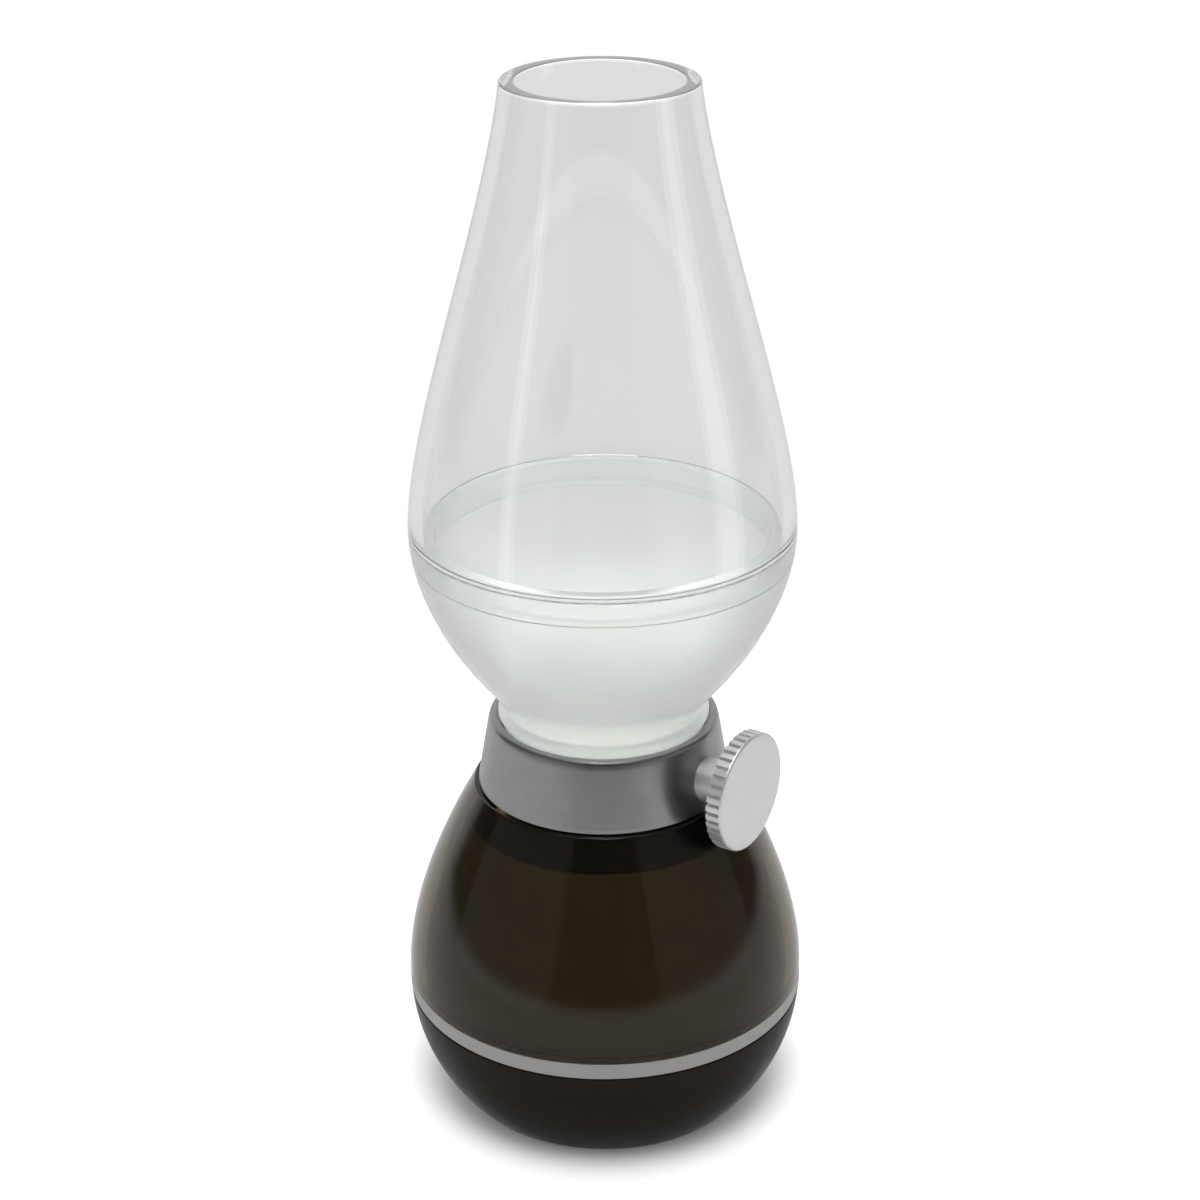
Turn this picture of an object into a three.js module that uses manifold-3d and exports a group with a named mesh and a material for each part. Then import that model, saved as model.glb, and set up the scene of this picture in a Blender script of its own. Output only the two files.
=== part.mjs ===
// Rechargeable lantern in the form of an oil lamp: a round base with a battery inside, a satin collar
// with a knurled dimmer knob, and a two-part chimney that plugs into the collar.
// Millimetres, +Z up. The origin is the middle of the foot, and +X runs out along the knob's axis.
import * as THREE from 'three';
import { mergeVertices } from 'three/addons/utils/BufferGeometryUtils.js';
import Module from 'manifold-3d';

const wasm = await Module();
wasm.setup();

// ---------------------------------------------------------------- driving dimensions

// Heights, stacked from the table upwards.
const padThickness = 0.7;
const panHeight = 18.2;
const ringHeight = 2.7;
const shellHeight = 33.9;
const neckHeight = 5.6;
const bowlHeight = 27.9;
const chimneyHeight = 69.7;

// Outer radii.
const footRadius = 23.4;
const baseRadius = 32.4;
const neckRadius = 16.2;
const bulgeRadius = 30.2;
const mouthRadius = 14.75;

// Steps between neighbouring radii: neck to lip, lip to collar top, collar top to bottom, then the shoulder.
const neckSlip = 0.4;
const collarLip = 1.7;
const collarFlare = 2;
const shoulderStep = 0.6;

// How far the two ends pull each outline, as shares of its height and of its change of radius.
const shellPull = { low: 0.32, high: 0.28, spread: 0.48 };
const bowlPull = { low: 0.222, high: 0.36, spread: 0.486 };
const chimneyPull = { low: 0.224, high: 0.287, spread: 0.155 };

// Walls.
const panWall = 2.2;
const shellWall = 2.2;
const linerWall = 1.2;
const collarWall = 1.5;
const frameWall = 1.8;
const neckWall = 2;
const bowlWall = 2;
const chimneyWall = 2.2;

// Dimmer knob.
const knobRadius = 9.6;
const knobThickness = 3;
const knobClearance = 1.05;
const knobBossRadius = 3.6;
const knobBossMargin = 0.9;
const knobDomeRise = 0.35;
const knobFlange = 0.5;
const knobBoreDepth = 0.5;
const ridgeCount = 40;
const ridgeDepth = 0.55;
const dimmerShaftRadius = 2;
const dimmerBushWall = 1.1;
const dimmerWidth = 9.6;
const dimmerHeight = 9;
const dimmerDepth = 4.3;
const dimmerBoardWidth = 12;
const dimmerBoardHeight = 12;

// Base fittings.
const plateThickness = 2;
const padWidth = 6.6;
const ledgeWidth = 2.1;
const ledgeThickness = 1.8;
const pillarRadius = 2.8;
const pillarHeight = 5.1;
const pillarPairs = 3;
const boardThickness = 1.6;
const trayThickness = 1.2;
const trayWallHeight = 4.5;
const trayLegRadius = 1.6;
const spigotHeight = 0.9;
const batteryWidth = 28;
const batteryThickness = 8;
const socketWidth = 8.94;
const socketHeight = 3.26;
const socketLength = 7.3;
const socketSheet = 0.35;
const socketRecess = 1.1;
const socketPocketMargin = 1.7;
const tongueHalfWidth = 3.2;
const tongueThickness = 0.7;
const pipeRadius = 1.1;

// Lamp head.
const lipHeight = 3.8;
const lipWall = 1.4;
const gasketThickness = 0.8;
const neckDepth = 1.4;
const neckTaper = 0.2;
const neckFlare = 0.7;
const beadLift = 1.7;
const beadHeight = 0.9;
const ledBoardThickness = 1.2;
const diffuserRise = 6;
const diffuserWall = 1.2;
const diffuserMargin = 1.2;
const soundHoleRadius = 1.5;
const microphoneRadius = 3;
const microphoneHeight = 2.2;
const ledCount = 4;
const leadCount = 4;
const leadRadius = 0.6;

// Parts that stand on the boards: width, depth, height and corner radius.
const ledSize = [3.2, 2.6, 0.9, 0.3];
const chargeLedSize = [1.6, 1.2, 1.4, 0.2];
const inductorSize = [6, 6, 3, 1.2];
const driverSize = [5, 4, 1.4, 0.2];
const plugSize = [6, 4, 3, 0.4];

// Screws.
const screwRadius = 1.1;
const screwHeadRadius = 1.9;
const screwHeadHeight = 1.2;
const screwTip = 0.8;
const screwSlot = 0.5;
const plateScrewLength = 4.2;
const boardScrewBite = 3.4;

// Clearances.
const seatGap = 0.2;
const slipGap = 0.3;
const boreGap = 0.25;
const liningGap = 0.4;
const roomGap = 1.2;
const cutMargin = 1;

// Facets round a full turn.
const shellFacets = 36;
const smallFacets = 16;

// ---------------------------------------------------------------- levels

const panBottomZ = padThickness + seatGap;
const panTopZ = panBottomZ + panHeight;
const ringBottomZ = panTopZ + seatGap;
const ringTopZ = ringBottomZ + ringHeight;
const shellBottomZ = ringTopZ + seatGap;
const shellTopZ = shellBottomZ + shellHeight;
const collarBottomZ = shellTopZ + seatGap;
const knobZ = collarBottomZ + knobBossMargin + knobBossRadius;
const dimmerTopZ = knobZ + dimmerHeight / 2;
const ledBoardBottomZ = dimmerTopZ + slipGap;
const ledBoardTopZ = ledBoardBottomZ + ledBoardThickness;
const frameTopZ = ledBoardBottomZ - seatGap;
const gasketBottomZ = frameTopZ + seatGap;
const neckBottomZ = gasketBottomZ + gasketThickness + seatGap;
const collarTopZ = neckBottomZ + neckDepth;
const collarHeight = collarTopZ - collarBottomZ;
const bowlBottomZ = neckBottomZ + neckHeight;
const seamZ = bowlBottomZ + bowlHeight;
const chimneyBottomZ = seamZ + seatGap;
const mouthZ = chimneyBottomZ + chimneyHeight;
const waistZ = (ringBottomZ + ringTopZ) / 2 + seatGap;
const collarTopRadius = neckRadius + neckSlip + collarLip;
const collarBottomRadius = collarTopRadius + collarFlare;
const shoulderRadius = collarBottomRadius + shoulderStep;

// ---------------------------------------------------------------- solids

/** Welds a geometry's shared corners and drops the slivers that a pole leaves. */
function weld(geometry) {
  const bare = geometry.clone();
  bare.deleteAttribute('normal');
  bare.deleteAttribute('uv');
  const welded = mergeVertices(bare, 1e-4);
  const index = welded.index.array;
  const kept = [];
  for (let i = 0; i < index.length; i += 3) {
    const [a, b, c] = index.slice(i, i + 3);
    if (a !== b && b !== c && c !== a) kept.push(a, b, c);
  }
  welded.setIndex(kept);
  return welded;
}

/** A manifold solid with the same faces as a closed geometry. */
function solidOf(geometry) {
  const welded = weld(geometry);
  const mesh = new wasm.Mesh({
    numProp: 3,
    vertProperties: new Float32Array(welded.attributes.position.array),
    triVerts: new Uint32Array(welded.index.array),
  });
  return new wasm.Manifold(mesh);
}

/** The geometry of a manifold solid. */
function geometryOf(solid) {
  const mesh = solid.getMesh();
  const geometry = new THREE.BufferGeometry();
  geometry.setAttribute('position', new THREE.BufferAttribute(mesh.vertProperties, 3));
  geometry.setIndex(new THREE.BufferAttribute(mesh.triVerts, 1));
  return geometry;
}

/** A geometry with others joined on to it. */
function join(geometry, ...others) {
  const whole = others.reduce((solid, other) => solid.add(solidOf(other)), solidOf(geometry));
  return geometryOf(whole);
}

/** A geometry with others cut out of it. */
function cut(geometry, ...others) {
  const rest = others.reduce((solid, other) => solid.subtract(solidOf(other)), solidOf(geometry));
  return geometryOf(rest);
}

/** Turns a closed [radius, height] outline round the Z axis. It runs up the outside and down the inside. */
function turned(outline, facets = shellFacets) {
  const points = outline.map(([radius, height]) => new THREE.Vector2(radius, height));
  const geometry = new THREE.LatheGeometry(points, facets);
  geometry.rotateX(Math.PI / 2);
  return geometry;
}

/** A ring of rectangular section between two radii and two heights. */
function ring(inner, outer, bottom, top, facets = shellFacets) {
  return turned([[inner, bottom], [outer, bottom], [outer, top], [inner, top], [inner, bottom]], facets);
}

/** A plain round bar standing on the given height. */
function bar(radius, bottom, height, facets = smallFacets) {
  const geometry = new THREE.CylinderGeometry(radius, radius, height, facets);
  geometry.rotateX(Math.PI / 2);
  geometry.translate(0, 0, bottom + height / 2);
  return geometry;
}

/** A bar along +X from one distance to another, at a given height. */
function barAlongX(radius, from, to, height, facets = smallFacets) {
  const geometry = new THREE.CylinderGeometry(radius, radius, to - from, facets);
  geometry.rotateZ(Math.PI / 2);
  geometry.translate((from + to) / 2, 0, height);
  return geometry;
}

/** A block between two corners. */
function block(low, high) {
  const [x, y, z] = low.map((value, axis) => high[axis] - value);
  const geometry = new THREE.BoxGeometry(x, y, z);
  geometry.translate(low[0] + x / 2, low[1] + y / 2, low[2] + z / 2);
  return geometry;
}

/** A rounded rectangle centred on the origin. */
function roundedOutline(width, height, radius) {
  const x = width / 2;
  const y = height / 2;
  const shape = new THREE.Shape();
  shape.absarc(x - radius, y - radius, radius, 0, Math.PI / 2);
  shape.absarc(radius - x, y - radius, radius, Math.PI / 2, Math.PI);
  shape.absarc(radius - x, radius - y, radius, Math.PI, Math.PI * 1.5);
  shape.absarc(x - radius, radius - y, radius, Math.PI * 1.5, Math.PI * 2);
  return shape;
}

/** A rounded block of the given width, depth and height, standing on the given height. */
function roundedBlock(width, depth, height, radius, bottom, curveSegments = 2) {
  const shape = roundedOutline(width, depth, radius);
  const geometry = new THREE.ExtrudeGeometry(shape, { depth: height, bevelEnabled: false, curveSegments });
  geometry.translate(0, 0, bottom);
  return geometry;
}

/** A slot-ended block that lies along Y, centred on a height, from one Y to another. */
function slotAlongY(width, height, from, to, middle) {
  const shape = roundedOutline(width, height, height / 2 - 0.01);
  const geometry = new THREE.ExtrudeGeometry(shape, { depth: to - from, bevelEnabled: false, curveSegments: 5 });
  geometry.rotateX(-Math.PI / 2);
  geometry.translate(0, from, middle);
  return geometry;
}

/** A round lead along a smooth path. */
function lead(points, radius = leadRadius, steps = 14) {
  const path = new THREE.CatmullRomCurve3(points.map((point) => new THREE.Vector3(...point)));
  const section = new THREE.Shape();
  section.absarc(0, 0, radius, 0, Math.PI * 2);
  return new THREE.ExtrudeGeometry(section, { extrudePath: path, steps, curveSegments: 3 });
}

/** Places round a circle, as [x, y] with the angle of each. */
function aroundCircle(count, radius, startAngle = 0) {
  return Array.from({ length: count }, (_, i) => {
    const angle = startAngle + (i * 2 * Math.PI) / count;
    return { x: radius * Math.cos(angle), y: radius * Math.sin(angle), angle };
  });
}

/** A copy of a geometry moved sideways. */
function movedTo(geometry, x, y, z = 0) {
  return geometry.clone().translate(x, y, z);
}

/** Points along a curve of [radius, height], pushed in towards the axis by a distance. */
function offsetPoints(curve, count, distance, from = 0, to = 1) {
  return Array.from({ length: count + 1 }, (_, i) => {
    const t = from + ((to - from) * i) / count;
    const point = curve.getPoint(t);
    const along = curve.getTangent(t);
    return [point.x - along.y * distance, point.y + along.x * distance];
  });
}

/** The curve parameter at which a rising curve reaches a height. */
function parameterAt(curve, height) {
  let low = 0;
  let high = 1;
  for (let i = 0; i < 40; i += 1) {
    const middle = (low + high) / 2;
    if (curve.getPoint(middle).y < height) low = middle;
    else high = middle;
  }
  return (low + high) / 2;
}

// ---------------------------------------------------------------- outlines of the large shells

/** Outer line of the reservoir, from the trim ring up to the shoulder. */
const shellCurve = new THREE.CubicBezierCurve(
  new THREE.Vector2(baseRadius, shellBottomZ),
  new THREE.Vector2(baseRadius, shellBottomZ + shellHeight * shellPull.low),
  new THREE.Vector2(
    shoulderRadius + (baseRadius - shoulderRadius) * shellPull.spread,
    shellTopZ - shellHeight * shellPull.high,
  ),
  new THREE.Vector2(shoulderRadius, shellTopZ),
);

/** Outer line of the frosted bowl, from the top of its neck up to the seam. */
const bowlCurve = new THREE.CubicBezierCurve(
  new THREE.Vector2(neckRadius + neckFlare, bowlBottomZ),
  new THREE.Vector2(
    neckRadius + (bulgeRadius - neckRadius) * bowlPull.spread,
    bowlBottomZ + bowlHeight * bowlPull.low,
  ),
  new THREE.Vector2(bulgeRadius, seamZ - bowlHeight * bowlPull.high),
  new THREE.Vector2(bulgeRadius, seamZ),
);

/** Outer line of the clear chimney, from the seam up to its mouth. */
const chimneyCurve = new THREE.CubicBezierCurve(
  new THREE.Vector2(bulgeRadius, chimneyBottomZ),
  new THREE.Vector2(bulgeRadius, chimneyBottomZ + chimneyHeight * chimneyPull.low),
  new THREE.Vector2(
    mouthRadius + (bulgeRadius - mouthRadius) * chimneyPull.spread,
    mouthZ - chimneyHeight * chimneyPull.high,
  ),
  new THREE.Vector2(mouthRadius, mouthZ),
);

/** Radius of the reservoir's outside at a height, or of its shoulder for any height above it. */
function shellRadius(height) {
  return shellCurve.getPoint(parameterAt(shellCurve, height)).x;
}

/** Half-height of the ellipse that runs from the foot, through the pan, to the waist. */
const panDrop = (waistZ - panBottomZ) / Math.sqrt(1 - (footRadius / baseRadius) ** 2);

/** Radius of the pan's outside at a height, or of a surface parallel to it, a distance further in. */
function panRadius(height, inset = 0) {
  const fall = (waistZ - height) / (panDrop - inset);
  return (baseRadius - inset) * Math.sqrt(1 - fall * fall);
}

/** Radius of the collar's outside at a height. */
function collarRadius(height) {
  const share = (height - collarBottomZ) / collarHeight;
  return collarBottomRadius + (collarTopRadius - collarBottomRadius) * share;
}

// ---------------------------------------------------------------- derived fits

const plateHoleRadius = footRadius - panWall + seatGap;
const plateRadius = plateHoleRadius - slipGap;
const plateTopZ = panBottomZ + plateThickness;
const ledgeBottomZ = plateTopZ + seatGap;
const ledgeTopZ = ledgeBottomZ + ledgeThickness;
const ledgeInnerRadius = plateHoleRadius - ledgeWidth;
const pillarCircle = ledgeInnerRadius - pillarRadius / 2;
const pillarTopZ = ledgeBottomZ + pillarHeight;
const boardBottomZ = pillarTopZ + seatGap;
const boardTopZ = boardBottomZ + boardThickness;
const boardRadius = panRadius(boardBottomZ, panWall) - roomGap;
const spigotRadius = baseRadius - shellWall - slipGap;
const spigotTopZ = shellBottomZ + spigotHeight;
const socketZ = boardTopZ + seatGap + socketHeight / 2;
const socketMouthY = panRadius(socketZ) - socketRecess - slipGap;
const pipeX = socketWidth / 2 + socketPocketMargin + panWall + pipeRadius;
const pipeOuterY = Math.sqrt(panRadius(socketZ) ** 2 - pipeX ** 2) - seatGap;
const chargeLedY = Math.sqrt(boardRadius ** 2 - pipeX ** 2) - 2 * chargeLedSize[1];
const trayBottomZ = socketZ + socketHeight / 2 + roomGap;
const trayFloorZ = trayBottomZ + trayThickness;
const batteryBottomZ = trayFloorZ + seatGap;
const trayReach = spigotRadius - panWall - roomGap;
const trayWidth = batteryWidth + 2 * (trayThickness + slipGap);
const trayLength = 2 * Math.sqrt(trayReach ** 2 - (trayWidth / 2) ** 2);
const batteryLength = trayLength - 2 * (trayThickness + slipGap);
const bandZ = shellTopZ - 4.9;
const frameBoreRadius = neckRadius - frameWall;
const ledBoardRadius = neckRadius - neckWall - slipGap;
const dimmerFrontX = Math.sqrt((frameBoreRadius - slipGap) ** 2 - (dimmerWidth / 2) ** 2) - 0.05;
const bushRadius = dimmerShaftRadius + boreGap + dimmerBushWall;
const bushEndX = neckRadius + neckSlip;
const knobBackX = shellRadius(knobZ - knobRadius) + knobClearance;
const bossEndX = bushEndX + slipGap * 2;

// ---------------------------------------------------------------- materials

function finish(color, roughness, metalness, opacity = 1) {
  const transparent = opacity < 1;
  return new THREE.MeshStandardMaterial({ color, roughness, metalness, opacity, transparent });
}

const clearPlastic = finish(0xe9eeee, 0.05, 0, 0.35);
const frostedPlastic = finish(0xdfe4df, 0.45, 0, 0.8);
const satinSilver = finish(0x8f9091, 0.38, 0.7);
const brightSilver = finish(0xc6c7c8, 0.35, 0.7);
const smokedPlastic = finish(0x2e2819, 0.06, 0, 0.85);
const bronzePaint = finish(0x3a311c, 0.4, 0.6);
const blackPlastic = finish(0x15130f, 0.5, 0);
const umberPlastic = finish(0x25211c, 0.32, 0);
const blackRubber = finish(0x1a1a1a, 0.9, 0);
const steel = finish(0x9a9da0, 0.4, 1);
const boardGreen = finish(0x1f5a35, 0.5, 0);
const cellWrap = finish(0x2f5f9e, 0.5, 0);
const whitePlastic = finish(0xf2f0e8, 0.5, 0);
const ledYellow = finish(0xe8c65a, 0.4, 0);
const redWire = finish(0xb52a22, 0.5, 0);

// ---------------------------------------------------------------- chimney

function chimneyGlass() {
  const lipBottomZ = seamZ - lipHeight;
  const bowlInside = offsetPoints(bowlCurve, 1, bowlWall, parameterAt(bowlCurve, lipBottomZ))[0][0];
  const lipRadius = bowlInside - slipGap;
  const lipBore = lipRadius - lipWall;
  const outside = offsetPoints(chimneyCurve, 9, 0);
  const inside = offsetPoints(chimneyCurve, 7, chimneyWall, 0.1).reverse();
  const brim = chimneyWall / 2;
  inside[0] = [mouthRadius - chimneyWall, mouthZ];
  return turned([
    [lipBore, lipBottomZ],
    [lipRadius, lipBottomZ],
    [lipRadius, chimneyBottomZ],
    ...outside,
    ...inside,
    [lipBore, chimneyBottomZ + brim],
    [lipBore, lipBottomZ],
  ]);
}

function globeBowl() {
  const outside = offsetPoints(bowlCurve, 6, 0);
  const inside = offsetPoints(bowlCurve, 5, bowlWall, 0.06).reverse();
  const beadBottomZ = neckBottomZ + beadLift;
  const beadTopZ = beadBottomZ + beadHeight;
  const neckBore = neckRadius - neckWall;
  const throatZ = bowlBottomZ - 0.6;
  inside[0] = [bulgeRadius - bowlWall, seamZ];
  return turned([
    [neckBore, neckBottomZ],
    [neckRadius - neckTaper, neckBottomZ],
    [neckRadius + neckTaper, beadBottomZ],
    [neckRadius + neckTaper, beadTopZ],
    [neckRadius - neckTaper / 2, beadTopZ + 0.5],
    ...outside,
    ...inside,
    [neckBore, throatZ],
    [neckBore, neckBottomZ],
  ]);
}

// ---------------------------------------------------------------- head of the base

function collar() {
  const lipInside = neckRadius + neckSlip;
  const wall = turned([
    [collarBottomRadius - collarWall, collarBottomZ],
    [collarBottomRadius, collarBottomZ],
    [collarRadius(collarTopZ - 1.2), collarTopZ - 1.2],
    [collarTopRadius - 0.15, collarTopZ - 0.45],
    [collarTopRadius - 0.55, collarTopZ - 0.08],
    [collarTopRadius - 0.95, collarTopZ],
    [lipInside + 0.15, collarTopZ - 0.15],
    [lipInside, collarTopZ - 0.5],
    [lipInside, frameTopZ - 0.4],
    [collarRadius(frameTopZ - 2) - collarWall, frameTopZ - 2],
    [collarBottomRadius - collarWall, collarBottomZ],
  ]);
  const shaftHole = barAlongX(knobBossRadius + slipGap + 0.1, neckRadius, collarBottomRadius + 2, knobZ);
  return cut(wall, shaftHole);
}

/** The skirt follows the inside of the shell, and the tube above it stands inside the collar. */
function neckFrame() {
  const skirt = offsetPoints(
    shellCurve,
    2,
    shellWall + liningGap,
    parameterAt(shellCurve, bandZ),
    parameterAt(shellCurve, shellTopZ - 0.9),
  );
  const [skirtTopRadius, skirtTopZ] = skirt[skirt.length - 1];
  const skirtBottom = skirt[0];
  const widestCircle = skirtBottom[0] - linerWall - screwHeadRadius;
  const bossCircle = Math.min(widestCircle, skirtTopRadius - screwRadius) - slipGap;
  const ribZ = skirtTopZ - frameWall;
  const shelfZ = frameTopZ - 1.5;
  const body = turned([
    [frameBoreRadius, skirtBottom[1]],
    [neckRadius - 0.2, skirtBottom[1]],
    [neckRadius - 0.2, ribZ],
    [skirt[1][0] - frameWall, ribZ],
    [skirtBottom[0] - linerWall, skirtBottom[1]],
    ...skirt,
    [neckRadius, skirtTopZ],
    [neckRadius, frameTopZ],
    [frameBoreRadius - 1.8, frameTopZ],
    [frameBoreRadius - 1.8, shelfZ],
    [frameBoreRadius, shelfZ - 1.5],
    [frameBoreRadius, skirtBottom[1]],
  ]);
  const bosses = aroundCircle(pillarPairs, bossCircle, Math.PI / 6).map((place) => {
    const boss = bar(screwRadius + 1, skirtBottom[1], ribZ - skirtBottom[1] + 0.4, 10);
    return movedTo(boss, place.x, place.y);
  });
  const pilotTopZ = skirtTopZ - 0.6;
  const pilots = aroundCircle(pillarPairs, bossCircle, Math.PI / 6).map((place) => {
    const pilot = bar(screwRadius + boreGap, skirtBottom[1] - 1, pilotTopZ - skirtBottom[1] + 1, 8);
    return movedTo(pilot, place.x, place.y);
  });
  const bushHole = barAlongX(bushRadius + slipGap, frameBoreRadius - 3, neckRadius + 1, knobZ);
  const halfWidth = dimmerWidth / 2 + slipGap;
  const dimmerNotch = block([0, -halfWidth, shelfZ - 3], [dimmerFrontX + slipGap, halfWidth, frameTopZ + 1]);
  const geometry = cut(join(body, ...bosses), ...pilots, bushHole, dimmerNotch);
  return { geometry, bossCircle, skirtBottom, pilotTopZ };
}

function neckGasket() {
  return ring(frameBoreRadius + 0.1, neckRadius - 0.1, gasketBottomZ, gasketBottomZ + gasketThickness);
}

function ledBoard() {
  return bar(ledBoardRadius, ledBoardBottomZ, ledBoardThickness, shellFacets);
}

/** A shallow dome with a small sound hole over the microphone. */
function ledDiffuser() {
  const outerRadius = ledBoardRadius - diffuserMargin;
  const baseZ = ledBoardTopZ + seatGap;
  const domeLine = (radius, rise, steps) => Array.from({ length: steps + 1 }, (_, i) => {
    const end = Math.acos(soundHoleRadius / radius);
    const angle = (end * i) / steps;
    return [radius * Math.cos(angle), baseZ + rise * Math.sin(angle)];
  });
  return turned([
    ...domeLine(outerRadius, diffuserRise, 5),
    ...domeLine(outerRadius - diffuserWall, diffuserRise - diffuserWall, 5).reverse(),
    [outerRadius, baseZ],
  ], 28);
}

// ---------------------------------------------------------------- dimmer and knob

/** The knob's own Z axis points out of the lamp. It stands on its back face. */
function knobWheel() {
  const outline = new THREE.Shape();
  const stations = [[-0.5, 0], [-0.3, 1], [0.3, 1]];
  for (let i = 0; i < ridgeCount; i += 1) {
    for (const [shift, rise] of stations) {
      const angle = ((i + shift) * 2 * Math.PI) / ridgeCount;
      const radius = knobRadius - ridgeDepth * (1 - rise);
      const x = radius * Math.cos(angle);
      const y = radius * Math.sin(angle);
      if (i === 0 && shift === -0.5) outline.moveTo(x, y);
      else outline.lineTo(x, y);
    }
  }
  outline.closePath();
  const rimHeight = knobThickness - knobDomeRise;
  const rim = new THREE.ExtrudeGeometry(outline, { depth: rimHeight, bevelEnabled: false });
  const bossLength = knobBackX - bossEndX;
  const flangeZ = rimHeight - knobFlange;
  const face = turned([
    [0, flangeZ],
    [knobRadius, flangeZ],
    [knobRadius, rimHeight],
    [knobRadius * 0.94, rimHeight + knobDomeRise * 0.6],
    [knobRadius * 0.6, rimHeight + knobDomeRise * 0.9],
    [0, rimHeight + knobDomeRise],
  ], ridgeCount);
  const boss = bar(knobBossRadius, -bossLength, bossLength + knobBoreDepth, 24);
  const bore = bar(
    dimmerShaftRadius + boreGap,
    -bossLength - cutMargin,
    bossLength + cutMargin + knobBoreDepth,
  );
  return cut(join(rim, face, boss), bore);
}

/** A shaft with a flat on one side, held in the knob's bore. */
function dimmerShaft() {
  const start = dimmerFrontX - knobBackX + slipGap;
  const shaft = bar(dimmerShaftRadius, start, slipGap - start, smallFacets);
  const flatDepth = dimmerShaftRadius * 0.7;
  const flat = block([flatDepth, -3, -4], [3, 3, 1]);
  return cut(shaft, flat);
}

function dimmerBody() {
  return block(
    [dimmerFrontX - dimmerDepth, -dimmerWidth / 2, dimmerTopZ - dimmerHeight],
    [dimmerFrontX, dimmerWidth / 2, dimmerTopZ],
  );
}

function dimmerBush() {
  const start = dimmerFrontX + slipGap;
  const outer = barAlongX(bushRadius, start, bushEndX, knobZ);
  const inner = barAlongX(dimmerShaftRadius + boreGap, start - cutMargin, bushEndX + cutMargin, knobZ);
  return cut(outer, inner);
}

function dimmerBoard() {
  const backX = dimmerFrontX - dimmerDepth - slipGap;
  const halfWidth = dimmerBoardWidth / 2;
  const bottomZ = dimmerTopZ - dimmerBoardHeight;
  return block([backX - boardThickness, -halfWidth, bottomZ], [backX, halfWidth, dimmerTopZ]);
}

// ---------------------------------------------------------------- reservoir

function reservoirShell() {
  const outside = offsetPoints(shellCurve, 7, 0);
  const inside = offsetPoints(shellCurve, 6, shellWall).reverse();
  const topBore = inside[0][0];
  return turned([
    ...outside,
    [topBore, shellTopZ],
    ...inside,
    [baseRadius, shellBottomZ],
  ]);
}

function reservoirLiner(frame) {
  const linerBottomZ = spigotTopZ + seatGap;
  const linerStart = parameterAt(shellCurve, linerBottomZ);
  const linerEnd = parameterAt(shellCurve, bandZ - 0.55);
  const outside = offsetPoints(shellCurve, 5, shellWall + liningGap, linerStart, linerEnd);
  const inside = offsetPoints(shellCurve, 3, shellWall + liningGap + linerWall, linerStart, linerEnd).reverse();
  const flangeTopZ = frame.skirtBottom[1] - seatGap;
  const flangeBottomZ = flangeTopZ - linerWall;
  const flangeBore = frame.bossCircle - screwHeadRadius;
  outside[outside.length - 1] = [frame.skirtBottom[0], flangeTopZ];
  outside[0][1] = linerBottomZ;
  inside[0] = [frame.skirtBottom[0] - linerWall, flangeBottomZ];
  inside[inside.length - 1][1] = linerBottomZ;
  const body = turned([
    ...outside,
    [flangeBore, flangeTopZ],
    [flangeBore, flangeBottomZ],
    ...inside,
    outside[0],
  ]);
  const holes = aroundCircle(pillarPairs, frame.bossCircle, Math.PI / 6).map((place) => {
    const hole = bar(screwRadius + boreGap, flangeBottomZ - cutMargin, linerWall + 2 * cutMargin, 8);
    return movedTo(hole, place.x, place.y);
  });
  return { geometry: cut(body, ...holes), flangeBottomZ };
}

function trimRing() {
  const inner = spigotRadius + seatGap;
  const edge = 0.25;
  return turned([
    [inner, ringBottomZ],
    [baseRadius - edge, ringBottomZ],
    [baseRadius, ringBottomZ + edge],
    [baseRadius, ringTopZ - edge],
    [baseRadius - edge, ringTopZ],
    [inner, ringTopZ],
    [inner, ringBottomZ],
  ]);
}

// ---------------------------------------------------------------- base

const pillarPlaces = aroundCircle(pillarPairs * 2, pillarCircle, Math.PI / 6);
const boardPlaces = pillarPlaces.filter((_, i) => i % 2 === 0);
const platePlaces = pillarPlaces.filter((_, i) => i % 2 === 1);

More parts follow.
